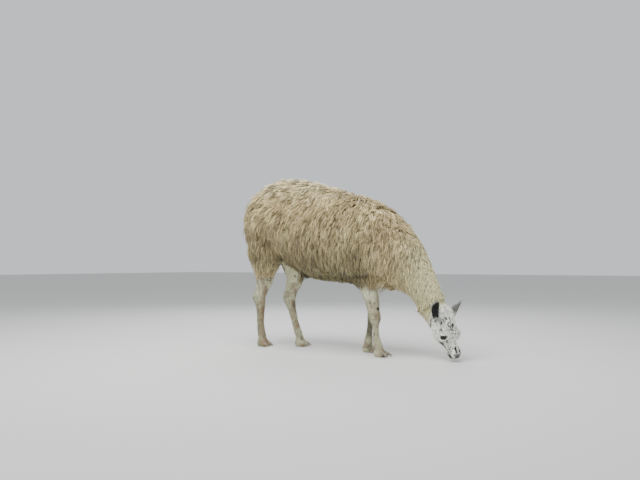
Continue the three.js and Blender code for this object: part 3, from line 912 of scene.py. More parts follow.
def wool_masks(points, normals, ragged, leg):
    """Dirt and painted shade low on the fleece, painted shade in its folds, and the bleached top of the
    back, painted lighter where it faces up.
    """
    # The fleece is darker towards its bottom and in its folds: partly dirt, partly painted shade.
    low = 1 - ease(points[:, 2], 0.45, 0.98)
    thigh = (1 - ease(points[:, 0], -0.50, -0.38)) * (1 - ease(points[:, 2], 0.56, 0.68))
    dirt_and_shade = low * (1 - ease(points[:, 0], 0.16, 0.40)) * (1 - leg * 0.4) * (1 - 0.75 * thigh)
    dirt_and_shade = np.maximum(dirt_and_shade, marked(points, FOLD_SHADE_MARKS, ragged * 12, core=0.3) * (1 - leg))
    # Painted light: the top of the back is lighter where it faces up, over its real bleaching.
    bleached_and_lit = ease(points[:, 2], 0.90, 1.08) * ease(normals[:, 2], 0.1, 0.8)
    return {"dirt_and_shade": dirt_and_shade, "bleached_and_lit": bleached_and_lit}


def leg_masks(points, normals, ragged, leg):
    """Brown marks with painted shade in the grooves before the tendons, grime low on the legs, most on the
    right hind one, and stains on their fronts.
    """
    worn = 0.55 + 0.37 * (1 - ease(points[:, 0], -0.56, -0.50))
    front = ease(normals[:, 0], -0.3, 0.7) * (points[:, 0] < -0.2)
    stain = 0.35 + 0.5 * front + 0.25 * (1 - ease(points[:, 2], 0.04, 0.12))
    return {
        "brown": marked(points, BROWN_MARKS_AND_SHADE, ragged * 15, core=0.35) * leg,
        "grime": leg * (1 - ease(points[:, 2], 0.22, 0.44)) * worn,
        "stain": np.clip(stain, 0, 1),
    }


def masks_of(points, normals):
    """Soft masks, which tell the finishes what grows or lies at each place."""
    places = to_head(points)
    ragged = np.array([noise.noise(Vector(p) * RAGGED_SCALE) for p in points.tolist()]) * RAGGED_SIZE
    leg = 1 - ease(body_share(points), 0.0, 0.6)
    ear = ear_share(points)
    head_only = head_share(points, *FACE_START)
    face = np.maximum(head_only, ear)
    dark = face_dark(points, ragged, face) * (1 - ear)
    dark = np.maximum(dark, marked(points, BLACK_MARKS_AND_SHADE, ragged * 15) * leg)
    flecked = ease(places[:, 0], *FLECKED_FROM) * ease(places[:, 2], *FLECKED_BELOW) * face
    crowd = EAR_CROWD * ear
    for place, radius in CROWDS:
        crowd = np.maximum(crowd, np.exp(-(((places - np.array(place)) / radius) ** 2).sum(1)))
    return {
        "face": face,
        "neck": neck_share(points) * (1 - head_only),
        "leg": leg,
        "ear": ear,
        "dark": dark,
        "inner": ear_dark(points, normals, ragged, ear),
        "flecked": np.maximum(flecked, LEG_FLECKS * leg),
        "crowd": crowd,
        **wool_masks(points, normals, ragged, leg),
        **leg_masks(points, normals, ragged, leg),
    }


def store(mesh, name, values):
    """A named value for each point of a mesh."""
    kind, key = ("FLOAT", "value") if np.ndim(values) == 1 else ("FLOAT_VECTOR", "vector")
    layer = mesh.attributes.new(name, kind, "POINT")
    layer.data.foreach_set(key, np.ascontiguousarray(values, dtype=np.float32).ravel())


skin_points = points_of(skin.data)
skin_normals = normals_of(skin.data)
skin_masks = masks_of(skin_points, skin_normals)
for name, values in skin_masks.items():
    store(skin.data, name, values)
store(skin.data, "root", skin_points)
store(skin.data, "shade", np.full(len(skin_points), 0.5))
store(skin.data, "along", np.full(len(skin_points), 0.25))
print("masks stored:", ", ".join(skin_masks))

# %% [markdown]
# The skin is unwrapped by its own shape. Each lock later takes the place of its root on this unwrap, so
# the colours of coat and skin can be written to pictures.

# %% Unwrap the skin
edited(skin, bpy.ops.uv.smart_project, angle_limit=math.radians(66), island_margin=0.002)
skin.data.uv_layers[0].name = "OFBake"

skin_triangles = triangles_of(skin.data)
corner_loops = numbers(skin.data.loop_triangles, "loops", 3, np.int64)
corner_maps = numbers(skin.data.uv_layers["OFBake"].data, "uv", 2)[corner_loops]
print("unwrapped", len(skin_triangles), "triangles")

# %% How much room each place of the skin leaves for its coat
ROOM_MOST = 0.09

corners = skin_points[skin_triangles]
crossed = np.cross(corners[:, 1] - corners[:, 0], corners[:, 2] - corners[:, 0])
areas = np.linalg.norm(crossed, axis=1) / 2
centres = corners.mean(axis=1)
room = reach(outline_tree, skin_points, skin_normals, ROOM_MOST)
room = np.where(room < ROOM_MOST, room, coat_depth(skin_points))
print("skin area", areas.sum().round(3), "square metres; deepest room", room.max().round(3))

# %% Roots on the skin
rng = np.random.default_rng(11)


def scatter(count, density):
    """Random roots on the skin. density gives the wish for roots at each triangle's middle."""
    wish = areas * density
    picked = rng.choice(len(areas), size=count, p=wish / wish.sum())
    a, b = rng.random((2, count))
    fold = a + b > 1
    a, b = np.where(fold, 1 - a, a), np.where(fold, 1 - b, b)
    weights = np.stack([1 - a - b, a, b], axis=1)[..., None]

    def mixed(values):
        return (values[skin_triangles[picked]] * weights).sum(1)

    return {
        "at": mixed(skin_points),
        "out": unit(mixed(skin_normals)),
        "room": mixed(room[:, None])[:, 0],
        "map": (corner_maps[picked] * weights).sum(1),
    }


def picked_from(roots, chosen):
    return {key: values[chosen] for key, values in roots.items()}


def tree_over(points):
    """A tree that finds the nearest of some points fast."""
    tree = kdtree.KDTree(len(points))
    for index, place in enumerate(points.tolist()):
        tree.insert(place, index)
    tree.balance()
    return tree


def thinned(roots, gap):
    """Keeps roots that are at least their gap apart."""
    tree = tree_over(roots["at"])
    kept = np.ones(len(roots["at"]), dtype=bool)
    for index, place in enumerate(roots["at"].tolist()):
        if kept[index]:
            for _, other, _ in tree.find_range(place, gap[index]):
                if other > index:
                    kept[other] = False
    return picked_from(roots, kept)


print("skin has room for", int(areas.sum() / 0.01**2), "roots a centimetre apart")

# %% [markdown]
# Wool hangs. On the flanks it falls straight down, on the back it parts at the spine and lies out and
# back, and on the rump it falls behind. Slow swirls keep it from looking combed. The short hair of the
# face runs from the nose up to the poll, and that of the legs runs down.

# %% The lie of the coat
DOWN = np.array([0.0, 0.0, -1.0])
BACK = np.array([-1.0, 0.0, 0.0])
SPINE_HALF = 0.09  # how far from the midline the parting at the spine ends
UP_FACE = -TURN[:, 0] - TURN[:, 2] * 0.35  # from the nose to the poll, and a little into the face
TOP = (0.2, 0.9)  # how much a place faces up, between the flanks and the back
HIGH = (0.68, 1.04)
RUMP = (-0.50, 0.10)
WOOL_SWIRL, FACE_SWIRL = 9.0, 30.0  # swirls to a metre


def swirl(points, scale, seed):
    """A slow random turn for each place."""
    offset = Vector((seed * 7.3, seed * 3.1, seed * 5.7))
    return np.array([noise.noise_vector(Vector(p) * scale + offset) for p in points.tolist()])


def lie_of(points, normals):
    """The way the coat lies at each root, along the skin."""
    side = np.zeros_like(points)
    side[:, 1] = np.clip(points[:, 1] / SPINE_HALF, -1, 1)
    top = ease(normals[:, 2], *TOP)[:, None]
    high = ease(points[:, 2], *HIGH)[:, None]
    rump = (1 - ease(points[:, 0], *RUMP))[:, None]
    neck = neck_share(points)[:, None]
    backward = (0.12 + high * (0.35 + 1.0 * rump)) * (1 - neck) - 0.5 * top * neck
    wool = DOWN * (1 - 0.45 * high * rump) + BACK * backward + side * (0.10 + 0.20 * top)
    wool = wool + swirl(points, WOOL_SWIRL, 1) * (0.35 + 0.45 * high)
    hair = UP_FACE + side * 0.35 + swirl(points, FACE_SWIRL, 2) * 0.2
    face = head_share(points)[:, None]
    lie = wool * (1 - face) + hair * face
    return unit(lie - normals * (lie * normals).sum(1, keepdims=True))


flank = np.array([[0.0, -0.25, 0.75]])
print("on the right flank the coat lies", lie_of(flank, np.array([[0.0, -1.0, 0.0]])).round(2)[0])

# %% [markdown]
# A lock is a thin three-sided blade. Its path is a row of places from the root out to the outline; the
# blade is widest near its middle and ends in a point. All the locks of a piece are made in one mesh from
# arrays of numbers, because tens of thousands of separate copies would be slow to handle.

# %% The points and faces of a lock
SIDES = 3
LOWEST = 0.005  # no path comes nearer to the floor


def blade_points(paths, outs, widths, form, flatness, twist):
    """The points of each blade: three for each ring of its path, and its tip."""
    count, rows = len(paths), len(form)
    ways = np.empty_like(paths)
    ways[:, 1:-1] = paths[:, 2:] - paths[:, :-2]
    ways[:, 0] = paths[:, 1] - paths[:, 0]
    ways[:, -1] = paths[:, -1] - paths[:, -2]
    ways = unit(ways)[:, :-1]
    sides = unit(np.cross(ways, outs[:, None, :]))
    tops = np.cross(sides, ways)
    cosine, sine = np.cos(twist)[:, None, None], np.sin(twist)[:, None, None]
    sides, tops = sides * cosine + tops * sine, tops * cosine - sides * sine
    half = (widths[:, None] * np.asarray(form)[None, :] / 2)[..., None]
    wide, thick = sides * half, tops * half * flatness
    centre = paths[:, :-1]
    ring = np.stack([centre - wide - thick * 0.5, centre + wide - thick * 0.5, centre + thick], axis=2)
    return np.concatenate([ring.reshape(count, rows * SIDES, 3), paths[:, -1:]], axis=1)


def blade_faces(rows):
    """The faces of a blade: its sides up to the last ring, the point and the closed root."""
    last = (rows - 1) * SIDES
    point = [(last + k, last + (k + 1) % SIDES, last + SIDES) for k in range(SIDES)]
    return [*tube_faces(rows, SIDES), *point, (2, 1, 0)]


print("a blade with three rings has", len(blade_faces(3)), "faces")

# %% Locks as one mesh
PATCH = 0.003  # the breadth of each lock's patch on the map


def blades(name, roots, paths, steps, widths, form, flatness, shade, twist):
    """Joins many blades. paths has the places of the rings and the tip, steps their shares of the
    length, and form the width at each ring."""
    count, rows = len(paths), len(form)
    paths = paths.copy()
    paths[..., 2] = np.maximum(paths[..., 2], LOWEST)
    points = blade_points(paths, roots["out"], widths, form, flatness, twist)
    each = points.shape[1]
    faces = blade_faces(rows)
    one = np.array([corner for face in faces for corner in face])
    corners = (one[None, :] + np.arange(count)[:, None] * each).ravel()
    sizes = np.tile([len(face) for face in faces], count)
    mesh = bpy.data.meshes.new(name)
    mesh.vertices.add(count * each)
    mesh.vertices.foreach_set("co", points.ravel())
    mesh.loops.add(len(corners))
    mesh.loops.foreach_set("vertex_index", corners.astype(np.int32))
    mesh.polygons.add(len(sizes))
    mesh.polygons.foreach_set("loop_start", (np.cumsum(sizes) - sizes).astype(np.int32))
    mesh.update(calc_edges=True)
    mesh.polygons.foreach_set("use_smooth", np.ones(len(sizes), dtype=bool))

    along = np.append(np.repeat(steps[:-1], SIDES), 1.0)
    across = np.append(np.tile([-1.0, 1.0, 0.0], rows), 0.0)
    patch = np.stack([across * 0.5, along - 0.5], 1) * PATCH
    places = (roots["map"][:, None, :] + patch[None]).reshape(-1, 2)[corners]
    mesh.uv_layers.new(name="OFBake").data.foreach_set("uv", places.astype(np.float32).ravel())
    values = {"root": roots["at"], "shade": shade, **masks_of(roots["at"], roots["out"])}
    for key, value in values.items():
        store(mesh, key, np.repeat(value, each, axis=0))
    store(mesh, "along", np.tile(along, count))
    made = bpy.data.objects.new(name, mesh)
    bpy.context.collection.objects.link(made)
    return made


print("each lock has a patch", PATCH, "across on the map")

# %% [markdown]
# Locks of wool hold together in bunches. Each bunch has a leading path with a slow wave, and the locks
# around it lean towards that path as they run out, so that the bunches end in points with shade between.

# %% The size of the wool
TRUNK_RUN, NECK_RUN = 0.070, 0.028  # how far a lock runs along the skin
SHORTEST = 0.20  # the run at the hems, as a share
TRUNK_WAVE, NECK_WAVE = 0.0085, 0.002
HEM_SHARE = (0.1, 0.95)
FULL_ROOM = (0.002, 0.032)  # depths of the coat between which the wool comes to its full length
# Tufts that stand out of the outline: on the croup, under the base of the neck and over the fold above
# the right thigh. Each has its place, its reach and how far it stands out.
WISPS = [
    ((-0.275, -0.014, 1.110), 0.050, 0.026),
    ((0.435, -0.060, 0.455), 0.060, 0.012),
    ((-0.660, -0.150, 0.745), 0.080, 0.016),
    ((-0.560, -0.200, 0.735), 0.080, 0.016),
    ((-0.480, -0.195, 0.715), 0.070, 0.012),
]


def on_rump(points):
    return 1 - ease(points[:, 0], -0.45, -0.10)


def wool_density(points):
    return ease(wool_share(points), 0.02, 0.40)


def wisp_share(points):
    """How far the wool of each place may stand out of the outline."""
    found = np.zeros(len(points))
    for place, size, height in WISPS:
        away = np.linalg.norm(points - np.array(place), axis=1) / size
        found = np.maximum(found, height * np.exp(-(away**4)))
    return found


def fleece_size(roots):
    """Run and wave of the wool: long on the trunk, short on the neck and towards its hem."""
    places = roots["at"]
    neck = neck_share(places)
    full = ease(wool_share(places), *HEM_SHARE) * np.maximum(ease(roots["room"], *FULL_ROOM), neck)
    run = (TRUNK_RUN * (1 - neck) + NECK_RUN * neck) * (SHORTEST + (1 - SHORTEST) * full)
    tousled = 1 + 0.4 * on_rump(places) * ease(places[:, 2], 0.78, 0.95)
    wave = (TRUNK_WAVE * (1 - neck) + NECK_WAVE * neck) * full * tousled
    return run, wave


density = wool_density(centres)
print("wool grows on", ((areas * density).sum() / areas.sum()).round(2), "of the skin")

# %% Bunches
BUNCH_TRIES = 60000
BUNCH_GAP = 0.0135
CLOSER_ON_NECK = 0.0045


def bunches():
    """Leading roots, spread evenly over the wool. They are tossed about most high on the rump."""
    lead = scatter(BUNCH_TRIES, density)
    lead = thinned(lead, BUNCH_GAP - CLOSER_ON_NECK * neck_share(lead["at"]))
    places = lead["at"]
    count = len(places)
    rump = on_rump(places)
    toss = 0.14 + (0.26 + 0.16 * rump) * ease(places[:, 2], 0.78, 1.0)
    toss = rng.normal(0, 1, count) * toss
    way = lie_of(places, lead["out"])
    lead["way"] = unit(way + np.cross(lead["out"], way) * toss[:, None])
    run, wave = fleece_size(lead)
    lead["rise"] = lead["room"] * rng.uniform(0.76, 1.04, count)
    lead["run"] = run * rng.uniform(0.75, 1.25, count) + wisp_share(places)
    lead["wave"] = wave * rng.uniform(0.4, 1.5, count)
    lead["phase"] = rng.uniform(0, 2 * math.pi, count)
    lead["turns"] = rng.uniform(0.45, 0.95, count)
    contrast = 0.15 + 0.12 * rump * ease(places[:, 2], 0.70, 0.95)
    lead["shade"] = rng.normal(0.5, contrast, count)
    return lead


lead = bunches()
lead_tree = tree_over(lead["at"])
print("bunches", len(lead["at"]))

# %% Paths of the locks
FALL = 0.35  # how far a lock bends down, as a share of its run
RISEN = 0.62  # the share of its length at which a lock reaches the outline
SAG = 0.10  # how far its end sinks in again
STRAY = 0.08


def free_paths(roots, run, wave, phase, turns, share):
    """Paths of locks on their own. Each rises, runs along its lie, sways in a slow wave and falls."""
    out, way = roots["out"], roots["way"]
    swing = np.sin(phase[:, None] + share[None] * turns[:, None] * 2 * math.pi)
    swing = swing - np.sin(phase)[:, None]
    risen = np.sin(np.minimum(share / RISEN, 1) * math.pi / 2) - SAG * ease(share, RISEN, 1.0)
    up = roots["rise"][:, None] * risen[None] + swing * wave[:, None] * 0.35 * share[None]
    go = run[:, None] * share[None]
    across = swing * wave[:, None] * (0.25 + 0.75 * share[None])
    fall = (DOWN + out * out[:, 2:]) * (run * FALL)[:, None]
    return (
        roots["at"][:, None] + out[:, None] * up[..., None] + way[:, None] * go[..., None]
        + np.cross(out, way)[:, None] * across[..., None] + fall[:, None] * (share**2)[None, :, None]
    )


def wool_paths(roots, member, run, wave, share, grip):
    """Paths of single locks, drawn towards the leading paths of their bunches."""
    leading = free_paths(lead, lead["run"], lead["wave"], lead["phase"], lead["turns"], share)
    phase = lead["phase"][member] + rng.normal(0, 0.35, len(run))
    own = free_paths(roots, run, wave, phase, lead["turns"][member], share)
    offset = roots["at"] - lead["at"][member]
    hold = (grip[:, None] * share[None] ** 0.8)[..., None]
    joint = leading[member] + offset[:, None] * 0.25
    stray = rng.normal(0, 1, (len(run), 3)) * run[:, None] * STRAY
    return own * (1 - hold) + joint * hold + stray[:, None] * share[None, :, None] ** 1.5


def kept_in(paths, limits):
    """Draws in the outer places of the paths that stand further out of the outline than their limit."""
    for row in range(2, paths.shape[1]):
        for index, place in enumerate(paths[:, row].tolist()):
            spot, normal, _, _ = outline_tree.find_nearest(place)
            beyond = (Vector(place) - spot).dot(normal)
            if beyond > limits[index]:
                paths[index, row] -= np.array(normal) * (beyond - limits[index])
    return paths


print("a lock of the trunk falls by", round(TRUNK_RUN * FALL, 3), "m over its run")

# %% Locks and the fuller locks under them
THIN = 1.0
LOCK = {
    "count": int(64000 * THIN), "width": 0.0046, "finer": 0.35, "grip": 0.68, "rise": (0.70, 1.02),
    "steps": np.array([0.1, 0.45, 0.78, 1.0]), "form": [0.7, 1.0, 0.62],
}
UNDER_LOCK = {
    "count": int(30000 * THIN), "width": 0.0078, "finer": 0.6, "grip": 0.0, "rise": (0.42, 0.80),
    "steps": np.array([0.1, 0.55, 1.0]), "form": [0.8, 0.9],
}
LOOSE_SHARE = 0.06  # how many locks stand out of the fleece, and how many more do high up
LOOSE_LIMIT, HELD_LIMIT = 0.016, 0.004  # how far out of the outline locks may stand
LOOSE_HIGHER = 0.004
UPPER = (0.72, 0.98)


def lay_locks(kind):
    """Roots of locks with their paths, widths and shades."""
    count = kind["count"]
    roots = scatter(count, density * (1 + 0.9 * neck_share(centres)))
    places = roots["at"]
    member = np.array([lead_tree.find(p)[1] for p in places.tolist()])
    neck = neck_share(places)
    upper = ease(places[:, 2], *UPPER)
    roots["way"] = lie_of(places, roots["out"])
    rise = roots["room"] * rng.uniform(*kind["rise"], count)
    loose = rng.random(count) < LOOSE_SHARE + LOOSE_SHARE * upper
    run, wave = fleece_size(roots)
    wisp = wisp_share(places) * rng.uniform(0.2, 1.0, count)
    run = run * rng.uniform(0.65, 1.25, count) + wisp
    roots["rise"] = rise * np.where(loose, 1.25, 1) + wisp * 0.6
    grip = np.clip(rng.normal(kind["grip"], 0.15, count), 0, 0.95) * (1 - 0.55 * neck)
    grip = np.where(loose, grip * 0.4, grip)
    paths = wool_paths(roots, member, run, wave, kind["steps"], grip)
    paths = kept_in(paths, np.where(loose, LOOSE_LIMIT + LOOSE_HIGHER * upper, HELD_LIMIT) + wisp)
    width = kind["width"] * (1 - kind["finer"] * neck) * rng.uniform(0.6, 1.4, count)
    # Painted light: locks that stand out of the fleece are lighter, as at the lit edge of the outline.
    shade = lead["shade"][member] + rng.normal(0, 0.15, count) + 0.15 * loose
    return roots, paths, width, np.clip(shade, 0, 1)


laid = [(kind, *lay_locks(kind)) for kind in (LOCK, UNDER_LOCK)]
print("locks laid", [kind["count"] for kind, *_ in laid])

# %% The pieces of the fleece
# Each piece of the coat is a region of the body, so that it stays small enough to handle.
BANDS = ["rump", "loin", "flank", "shoulder", "neck"]
BAND_EDGES = [-0.50, -0.22, 0.06, 0.36]
LOCK_FLATNESS = 0.5
LOCK_TWIST = 0.5

coat = []
for side, hand in HANDS.items():
    for number, band in enumerate(BANDS):
        halves = []
        for kind, roots, paths, width, shade in laid:
            here = np.digitize(roots["at"][:, 0], BAND_EDGES) == number
            chosen = here & (roots["at"][:, 1] * hand > 0)
            twist = rng.normal(0, LOCK_TWIST, chosen.sum())
            halves.append(
                blades(
                    f"{band}_wool_{side}", picked_from(roots, chosen), paths[chosen], kind["steps"],
                    width[chosen], kind["form"], LOCK_FLATNESS, shade[chosen], twist,
                )
            )
        choose(*halves[::-1])
        bpy.ops.object.join()
        coat.append(bpy.context.object)
        print(coat[-1].name, len(triangles_of(coat[-1].data)), "triangles")

# %% [markdown]
# The short hair of the face and legs lies flat, so most of it is only a fine grain in the finish. Small
# tufts break its outline, shortest on the nose and the feet.

# %% Where the short tufts grow
SHORT_TUFTS = int(17000 * THIN)
ABOVE_FEET = (0.02, 0.06)  # heights between which the feet turn from bare to haired
BARE_TIP = (0.282, 0.294)  # places down the face between which the hair ends at the nose
AROUND_EYE = (0.0225, 0.0275)
CROWN_PLACE, CROWN_HALF = 0.022, 0.036
CROWN_LEVEL = (-0.060, -0.01)
BROW_PLACE, BROW_HALF, BROW_HIGH, BROW_SIDE = 0.150, 0.026, 0.020, 0.03


def crown_share(points):
    """1 on the crown, where the hair is longest."""
    places = to_head(points)
    return bell((places[:, 0] - CROWN_PLACE) / CROWN_HALF) * ease(places[:, 2], *CROWN_LEVEL)


def brow_share(points):
    """1 on the brows over the eyes."""
    places = to_head(points)
    along, high = (places[:, 0] - BROW_PLACE) / BROW_HALF, places[:, 2] / BROW_HIGH
    return np.exp(-(along**2) - high**2) * (np.abs(places[:, 1]) > BROW_SIDE)


def short_density(points):
    head_here = head_share(points)
    haired = ease(points[:, 2], *ABOVE_FEET) * (1 - ease(to_head(points)[:, 0], *BARE_TIP) * head_here)
    for hand in HANDS.values():
        haired = haired * ease(np.linalg.norm(on_eye(points, hand), axis=1), *AROUND_EYE)
    closer = 1 + 3.0 * (head_here * (1 + 0.8 * crown_share(points)))
    return (1 - wool_density(points)) * haired * closer * (1 - ear_share(points) * 0.6)


tufts = scatter(SHORT_TUFTS, short_density(centres))
print("short tufts", SHORT_TUFTS)

# %% Short hair on the face and legs
TUFT_FORM = [0.7, 1.0]
TUFT_FLATNESS = 0.4
TUFT_SINK = 0.0008  # how deep in the skin a tuft starts
MUZZLE = (0.215, 0.265)  # places down the face between which the hair shortens

places = tufts["at"]
on_face = head_share(places)
hem = ease(wool_share(places), 0.0, 0.05) * (1 - on_face)
crown, brow = crown_share(places), brow_share(places)
length = 0.011 - 0.003 * on_face + 0.008 * hem + 0.020 * crown + 0.008 * brow
length = length * rng.uniform(0.7, 1.3, SHORT_TUFTS)
length = length * (1 - 0.5 * ease(to_head(places)[:, 0], *MUZZLE) * on_face)
lift = rng.uniform(0.10, 0.26, SHORT_TUFTS) + 0.25 * crown + 0.35 * brow
tuft_width = (0.0030 - 0.0012 * on_face) * rng.uniform(0.7, 1.3, SHORT_TUFTS)
way = unit(lie_of(places, tufts["out"]) + rng.normal(0, 0.12, (SHORT_TUFTS, 3)))
tuft_steps = np.linspace(0, 1, 3)
rising = np.stack([np.full(SHORT_TUFTS, -TUFT_SINK), length * lift * 0.8, length * lift], 1)
running = length[:, None] * tuft_steps[None]
tuft_paths = places[:, None] + tufts["out"][:, None] * rising[..., None] + way[:, None] * running[..., None]
tuft_shade = np.clip(rng.normal(0.5, 0.12, SHORT_TUFTS), 0, 1)
on_head = places[:, 0] > 0.5
for name, chosen in {"face_hair": on_head, "leg_hair": ~on_head}.items():
    piece = blades(
        name, picked_from(tufts, chosen), tuft_paths[chosen], tuft_steps, tuft_width[chosen],
        TUFT_FORM, TUFT_FLATNESS, tuft_shade[chosen], np.zeros(chosen.sum()),
    )
    coat.append(piece)
    print(name, chosen.sum(), "tufts")

# %% [markdown]
# The eyes and nails are their own pieces. An eyeball is a ball with a swelling over the iris. A nail is
# a welded copy of the frame's faceted nail, rounded by subdivision.

# %% Eyeballs
CORNEA = 0.075  # how far the ball swells over the iris, as a share of its radius
IRIS_EDGE = (0.72, 0.97)

eyes = {}
for name, hand in HANDS.items():
    choose()
    bpy.ops.mesh.primitive_uv_sphere_add(segments=40, ring_count=24, radius=BALL)
    ball = bpy.context.object
    ball.name = f"eyeball_{name}"
    points = points_of(ball.data)
    facing = unit(points) @ (TURN @ eye_axes(hand)[0])
    points = points * (1 + CORNEA * ease(facing, *IRIS_EDGE))[:, None]
    move_points(ball.data, points + from_head(handed(EYE, hand)))
    shade_smooth(ball)
    eyes[name] = ball
print("eyes", list(eyes))

# %% Rims of the lids
RIM_RING = 0.1  # how thick the first ring is, as a share of its radius
RIM_CORNERS = 1.1
RIM_INSIDE = 0.97  # where the rim runs, as a share of the opening
RIM_ACROSS, RIM_THICK = 0.0016, 0.0013  # half its size along the ball and out of it
RIM_OVER = 0.0012  # how far over the ball it runs

rims = []
for name, hand in HANDS.items():
    choose()
    bpy.ops.mesh.primitive_torus_add(
        major_segments=48, minor_segments=8, major_radius=1.0, minor_radius=RIM_RING
    )
    rim = bpy.context.object
    rim.name = f"lid_rim_{name}"
    ring = points_of(rim.data)
    turn = np.arctan2(ring[:, 1], ring[:, 0])
    tube = np.stack([np.hypot(ring[:, 0], ring[:, 1]) - 1, ring[:, 2]], 1) / RIM_RING
    length = OPENING[0] * np.sign(np.cos(turn)) * np.abs(np.cos(turn)) ** RIM_CORNERS
    height = OPENING[1] * np.sin(turn) * np.where(np.sin(turn) > 0, 1.0, LOWER_LID)
    flat_place = np.stack([length, height], 1) * RIM_INSIDE
    flat_place = flat_place + unit(flat_place) * (tube[:, :1] * RIM_ACROSS)
    over = np.sqrt(np.maximum((BALL + RIM_OVER) ** 2 - (flat_place**2).sum(1), 1e-9))
    places = np.concatenate([(over + tube[:, 1] * RIM_THICK)[:, None], flat_place], 1)
    move_points(rim.data, off_eye(places, hand))
    edited(rim, bpy.ops.mesh.normals_make_consistent, inside=False)
    shade_smooth(rim)
    rims.append(rim)
print("rims", [rim.name for rim in rims])

# %% Nails
nails = []
for node in [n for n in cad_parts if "nail" in n]:
    nail = copy_of(f"{node}_horn", [node])
    finish_with(nail, "SUBSURF", levels=2, render_levels=2)
    shade_smooth(nail)
    nails.append((nail, node))
print("nails", len(nails))

# %% [markdown]
# A finish is a small tree of nodes. A board holds short ways to add them, so that the rules of the colours
# below can be read as sums.

# %% A board to build finishes on
class Board:
    """Short ways to add nodes to one tree."""

    def __init__(self, tree):
        self.tree = tree

    def add(self, kind, inputs, **settings):
        """The outputs of a new node. Each input is given a number, a colour or another node's output."""
        node = self.tree.nodes.new("ShaderNode" + kind)
        for key, value in settings.items():
            setattr(node, key, value)
        for key, value in inputs.items():
            if isinstance(value, bpy.types.NodeSocket):
                self.tree.links.new(value, node.inputs[key])
            else:
                node.inputs[key].default_value = value
        return node.outputs

    def read(self, name, output="Fac"):
        return self.add("Attribute", {}, attribute_name=name)[output]

    def sum(self, operation, a, b):
        return self.add("Math", {0: a, 1: b}, operation=operation)[0]

    def times(self, a, b):
        return self.sum("MULTIPLY", a, b)

    def most(self, a, b):
        return self.sum("MAXIMUM", a, b)

    def vectors(self, operation, a, b):
        """A sum of places or colours. To scale one, b is a number."""
        second = "Scale" if operation == "SCALE" else 1
        return self.add("VectorMath", {0: a, second: b}, operation=operation)[0]

    def mix(self, share, a, b):
        return self.add("Mix", {"Factor": share, 6: a, 7: b}, data_type="RGBA", clamp_factor=True)[2]

    def step(self, value, low, high, start=0.0, end=1.0):
        """A smooth step from start at low to end at high."""
        inputs = {"Value": value, "From Min": low, "From Max": high, "To Min": start, "To Max": end}
        return self.add("MapRange", inputs, interpolation_type="SMOOTHSTEP", clamp=True)[0]

    def grain(self, place, scale, detail=2.0, roughness=0.5):
        inputs = {"Vector": place, "Scale": scale, "Detail": detail, "Roughness": roughness}
        return self.add("TexNoise", inputs)["Fac"]


def new_finish(name, look):
    """A material. look is given its board, and returns what goes into its surface."""
    made = bpy.data.materials.new(name)
    made.use_nodes = True
    made.node_tree.nodes.clear()
    board = Board(made.node_tree)
    board.add("OutputMaterial", {0: board.add("BsdfPrincipled", look(board))[0]})
    return made


print("board ready")

# %% [markdown]
# One group of sums gives the markings for skin and coat. It reads the stored root place and masks, mixes
# the colours of wool, face and legs, and lays flecks over the white parts. The coat's finish paints shade
# into each lock: it is darker towards its root, deep in the fleece, and lighter at its tip.

# %% The shared markings
WOOL_LIGHT = (0.79, 0.65, 0.34, 1)
WOOL_MID = (0.52, 0.40, 0.20, 1)
# Dirt and painted shade: the dark of the lower fleece and its folds.
WOOL_DIRT_AND_SHADE = (0.078, 0.074, 0.021, 1)
# Bleached wool with painted light on the top of the back.
WOOL_BLEACHED_AND_LIT = (0.93, 0.82, 0.50, 1)
NECK_CREAM = (0.99, 0.95, 0.57, 1)
FACE_WHITE = (0.97, 0.97, 0.88, 1)
LEG_WHITE = (0.76, 0.75, 0.52, 1)
# Stains, and painted shade in the grooves before the tendons.
LEG_GRIME = (0.26, 0.25, 0.14, 1)
LEG_STAIN_AND_SHADE = (0.27, 0.175, 0.105, 1)
FLECK = (0.024, 0.023, 0.024, 1)
BARE_DARK = (0.022, 0.020, 0.020, 1)
EAR_GREY = (0.42, 0.40, 0.38, 1)
FLECK_CELLS = 105.0  # cells of the flecks to a metre
FLECK_SIZE = 0.96
FLECK_BENDS = 160.0  # how close together the bends of their edges are, and how wide
FLECK_BEND = 0.007
BROAD, PATCHES, STAINS, CROWDING = 7.0, 26.0, 17.0, 30.0  # grains to a metre


def spots(board, place):
    """Small ragged spots that crowd together in some places and thin out in others."""
    bend = board.add("TexNoise", {"Vector": place, "Scale": FLECK_BENDS})["Color"]
    bent = board.vectors("ADD", place, board.vectors("SCALE", bend, FLECK_BEND))
    cells = board.add("TexVoronoi", {"Vector": bent, "Scale": FLECK_CELLS})
    chance = board.add("SeparateColor", {0: cells["Color"]})[0]
    crowd = board.step(board.grain(place, CROWDING, 1.0), 0.38, 0.60, 0.30, 0.80)
    crowd = board.most(crowd, board.read("crowd"))
    size = board.times(board.times(chance, crowd), FLECK_SIZE)
    gap = board.sum("SUBTRACT", cells["Distance"], size)
    return board.step(gap, -0.05, 0.05, 1.0, 0.0)


def wool_colour(board, root):
    patches = board.grain(root, PATCHES, 2.0)
    wool = board.mix(board.step(board.grain(root, BROAD, 3.0), 0.35, 0.65), WOOL_MID, WOOL_LIGHT)
    wool = board.mix(board.step(patches, 0.45, 0.75, 0.0, 0.45), wool, WOOL_MID)
    # Painted light and bleaching on the top of the back.
    wool = board.mix(board.times(board.read("bleached_and_lit"), 0.65), wool, WOOL_BLEACHED_AND_LIT)
    wool = board.mix(board.times(board.read("neck"), 0.88), wool, NECK_CREAM)
    # Painted shade and dirt: the lower fleece and its folds go dark.
    dirt_and_shade = board.times(board.read("dirt_and_shade"), board.step(patches, 0.25, 0.6, 0.55, 1.0))
    return board.mix(board.times(dirt_and_shade, 0.85), wool, WOOL_DIRT_AND_SHADE)


